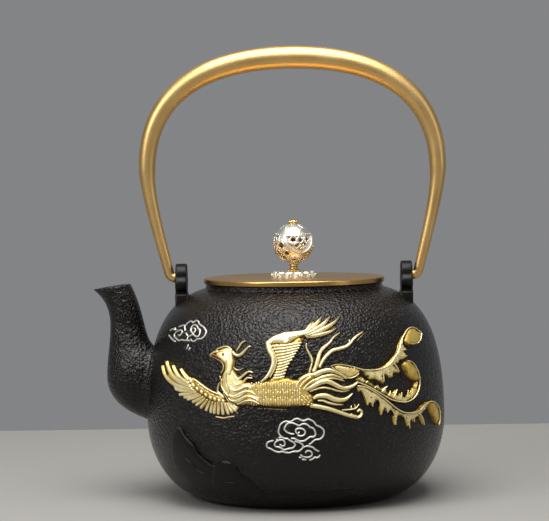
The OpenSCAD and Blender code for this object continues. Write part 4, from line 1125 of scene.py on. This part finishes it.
ball_r = 10.6
rosette_r, rosette_t, petals = 12.2, 3.0, 12
lid_top = 117.3
stem_r, stem_h = 2.9, 5.0
rosette_top = lid_top + rosette_t
ball_centre = point(0, rosette_top + stem_h + sqrt(ball_r ** 2 - stem_r ** 2))
crown_lat = 23.9
swags, first_swag = 3, -68
piercings = ((60, -4, 1.5), (44, -28, 1.2), (76, -28, 1.2), (60, -44, 1.3), (22, -52, 1), (-22, -52, 1))

# Silver plate on a casting, with a little dark tarnish, and a painted reflection of the brass lid below:
# warm yellow low on the ball
brass_reflection_starts, brass_reflection_full, brass_reflection_fades, brass_reflection_ends = 122.5, 125.5, 129, 138
silver_plate = new_material("cast_silver_plate", "#e4e0d6", 1.0, 0.24)
place = add_node(silver_plate, "ShaderNodeTexCoord").outputs["Object"]
rippled = noise(silver_plate, 1.2, 3.0, place)
stained = noise(silver_plate, 3.5, 2.0, place)
emboss(silver_plate, 0.35, 0.1, rippled.outputs["Fac"])
tarnish = add_node(silver_plate, "ShaderNodeMapRange", {1: 0.58, 2: 0.8}, {0: stained.outputs["Fac"]})
tone = blend(silver_plate, "#e9e6dd", "#a89a80", tarnish.outputs[0])
level = add_node(silver_plate, "ShaderNodeSeparateXYZ", {}, {0: place}).outputs["Z"]
# Painted reflection of the brass lid: a warm yellow band from above the stem's foot to under the crown
over_stem = add_node(silver_plate, "ShaderNodeMapRange", {1: brass_reflection_starts * MM, 2: brass_reflection_full * MM},
                     {0: level})
under_crown = add_node(silver_plate, "ShaderNodeMapRange",
                       {1: brass_reflection_ends * MM, 2: brass_reflection_fades * MM, 4: 0.75}, {0: level})
brass_reflection_band = add_node(silver_plate, "ShaderNodeMath", {"operation": "MULTIPLY"},
                       {0: over_stem.outputs[0], 1: under_crown.outputs[0]})
with_brass_reflection = add_node(silver_plate, "ShaderNodeMix", {"data_type": "RGBA", 7: linear("#dcc08a")},
                {0: brass_reflection_band.outputs[0], 6: tone})
feed(silver_plate, "Base Color", with_brass_reflection.outputs[2])
gloss = add_node(silver_plate, "ShaderNodeMapRange", {3: 0.3, 4: 0.5}, {0: rippled.outputs["Fac"]})
feed(silver_plate, "Roughness", gloss.outputs[0])
finish_nodes(("knob_rosette", "knob_basket", "knob_crown"), silver_plate)


def on_ball(lon, lat):
    """The spot on the ball at a longitude from +X and a latitude, in degrees, and its way out"""
    out = Vector((cos(radians(lat)) * cos(radians(lon)), cos(radians(lat)) * sin(radians(lon)),
                  sin(radians(lat))))
    return ball_centre + ball_r * out, out


def bead(target, spot, radius):
    bmesh.ops.create_icosphere(target, subdivisions=2, radius=radius, matrix=Matrix.Translation(spot))


def wire_ring(target, spot, out, radius, wire, sides=8, steps=16):
    """A small ring of wire lying on a surface"""
    east = out.orthogonal().normalized()
    north = out.cross(east)
    rings = []
    for k in range(steps):
        turn = 2 * pi * k / steps
        spoke = east * cos(turn) + north * sin(turn)
        along = north * cos(turn) - east * sin(turn)
        rings.append(hoop(target, spot + spoke * radius, spoke * wire, out * wire, along, sides))
    bridge(target, rings + rings[:1])


# Beads and curls soldered round the piercings, between the swags and under the crown
filigree = relief()
for third in range(swags):
    front = first_swag + 360 / swags * third
    for lon, lat, hole in piercings:
        spot, out = on_ball(front + lon, lat)
        wire_ring(filigree, spot, out, hole + 0.35, 0.34)
        for k in range(6):
            turn = radians(60 * k + 15)
            reach = degrees((hole + 1.0) / ball_r)
            beside, _ = on_ball(front + lon + reach * cos(turn) / cos(radians(lat)),
                                lat + reach * sin(turn))
            bead(filigree, beside, 0.46)
    for lon, lat in (
            (60, 12), (52, 9), (68, 9), (60, -18), (52, -16), (68, -16), (38, -14), (82, -14), (34, -40),
            (86, -40), (47, -50), (73, -50), (0, -48), (10, -44), (-10, -44), (0, -60), (32, -60),
            (88, -60)):
        bead(filigree, on_ball(front + lon, lat)[0], 0.55)
    ridge(filigree, [on_ball(front + lon, lat) for lon, lat in ((-36, 6), (-26, 2), (-16, 1), (-6, 3))],
          0.75, 0.4, (0.4, 1.4, 0.4))
    for lon, lat in (
            (6, 16), (16, 17), (6, 6), (16, 8), (11, 12), (-2, -6), (9, -4), (2, -14), (10, -12),
            (20, 1)):
        bead(filigree, on_ball(front + lon, lat)[0] - 0.25 * on_ball(front + lon, lat)[1], 0.7)
    ridge(filigree, [on_ball(front + lon, -29 - 1.2 * abs(lon) / 8) for lon in range(-40, 41, 8)], 0.4,
          0.3, (0.6, 1.2, 0.6))
ridge(filigree, [on_ball(lon, crown_lat + 0.6) for lon in range(0, 361, 10)], 0.42, 0.32, (1, 1, 1))
for k in range(8):
    ridge(filigree, [on_ball(45 * k + bend, lat) for bend, lat in ((0, 70), (2, 62), (5, 54), (9, 48))],
          0.55, 0.2, (1.1, 1, 0.5))
for k in range(24):
    bead(filigree, on_ball(15 * k, crown_lat + 5)[0], 0.3)
knob_filigree = add_piece("knob_filigree", filigree, silver_plate, body="lid", smooth_angle=60)

# The disc's petals carry a raised rib on top and two beads on the edge
disc_trim = relief()
for k in range(petals):
    turn = 2 * pi * (k + 0.5) / petals
    out = Vector((cos(turn), sin(turn), 0))
    side = Vector((-sin(turn), cos(turn), 0))
    ridge(disc_trim,
          [(out * reach + point(0, rosette_top), point(0, 1)) for reach in (4.6, 6.6, 8.6, 10.6)], 0.7,
          0.25, (0.4, 1.3, 1.1))
    for across in (-1.4, 1.4):
        for height in (0.8, 1.9):
            bead(disc_trim, out * (rosette_r - 0.35) + side * across + point(0, lid_top + height), 0.42)
    bead(disc_trim, out * (rosette_r - 0.1) + point(0, lid_top + 1.35), 0.6)
rosette_trim = add_piece("rosette_trim", disc_trim, silver_plate, body="lid", smooth_angle=60)

# Beaded collar round the foot of the stem, and a row of grains where it meets the ball
collar = relief()
collar_beads = 14
for k in range(collar_beads):
    turn = 2 * pi * k / collar_beads
    for reach, z, radius in ((3.1, rosette_top + 0.45, 0.5), (2.75, rosette_top + stem_h - 0.4, 0.42)):
        bead(collar, Vector((reach * cos(turn), reach * sin(turn), z)), radius)
stem_beads = add_piece("stem_beads", collar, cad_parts["knob_stem"].data.materials[0], body="lid",
                       smooth_angle=60)

# --- Floor and light ----------------------------------------------------------------------
# A plain pale floor that ends a little behind the kettle, and three soft studio lamps: a wide one
# above and in front, a smaller one on the left and a weak one on the right.
floor_paint = new_material("pale_floor", "#8f8d88", 0.0, 0.9)
floor_mesh = bpy.data.meshes.new("floor")
floor_form = bmesh.new()
floor_half, floor_middle = 0.5, (0, -0.216, 0)
bmesh.ops.create_grid(floor_form, x_segments=1, y_segments=1, size=floor_half,
                      matrix=Matrix.Translation(floor_middle))
floor_form.to_mesh(floor_mesh)
floor_form.free()
floor_mesh.materials.append(floor_paint)
floor = bpy.data.objects.new("floor", floor_mesh)
collection.objects.link(floor)

world = bpy.data.worlds.new("studio")
bpy.context.scene.world = world
world.use_nodes = True
background = world.node_tree.nodes["Background"]
background.inputs["Color"].default_value = linear("#d6d7da")
background.inputs["Strength"].default_value = 0.34


def add_lamp(name, at, aim, width, height, power):
    lamp_data = bpy.data.lights.new(name, "AREA")
    lamp_data.shape = "RECTANGLE"
    lamp_data.size, lamp_data.size_y = width, height
    lamp_data.energy = power
    lamp = bpy.data.objects.new(name, lamp_data)
    facing = (Vector(at) - Vector(aim)).to_track_quat("Z", "Y")
    lamp.matrix_world = Matrix.Translation(at) @ facing.to_matrix().to_4x4()
    collection.objects.link(lamp)


middle = (0, 0, 0.11)
add_lamp("overhead", (-0.03, -0.27, 0.9), middle, 0.75, 0.85, 13.5)
add_lamp("key", (-0.8, -0.65, 0.6), middle, 0.35, 0.5, 4.5)
add_lamp("fill", (0.85, -0.45, 0.45), middle, 0.3, 0.8, 1)

bpy.context.scene.view_settings.view_transform = "Standard"
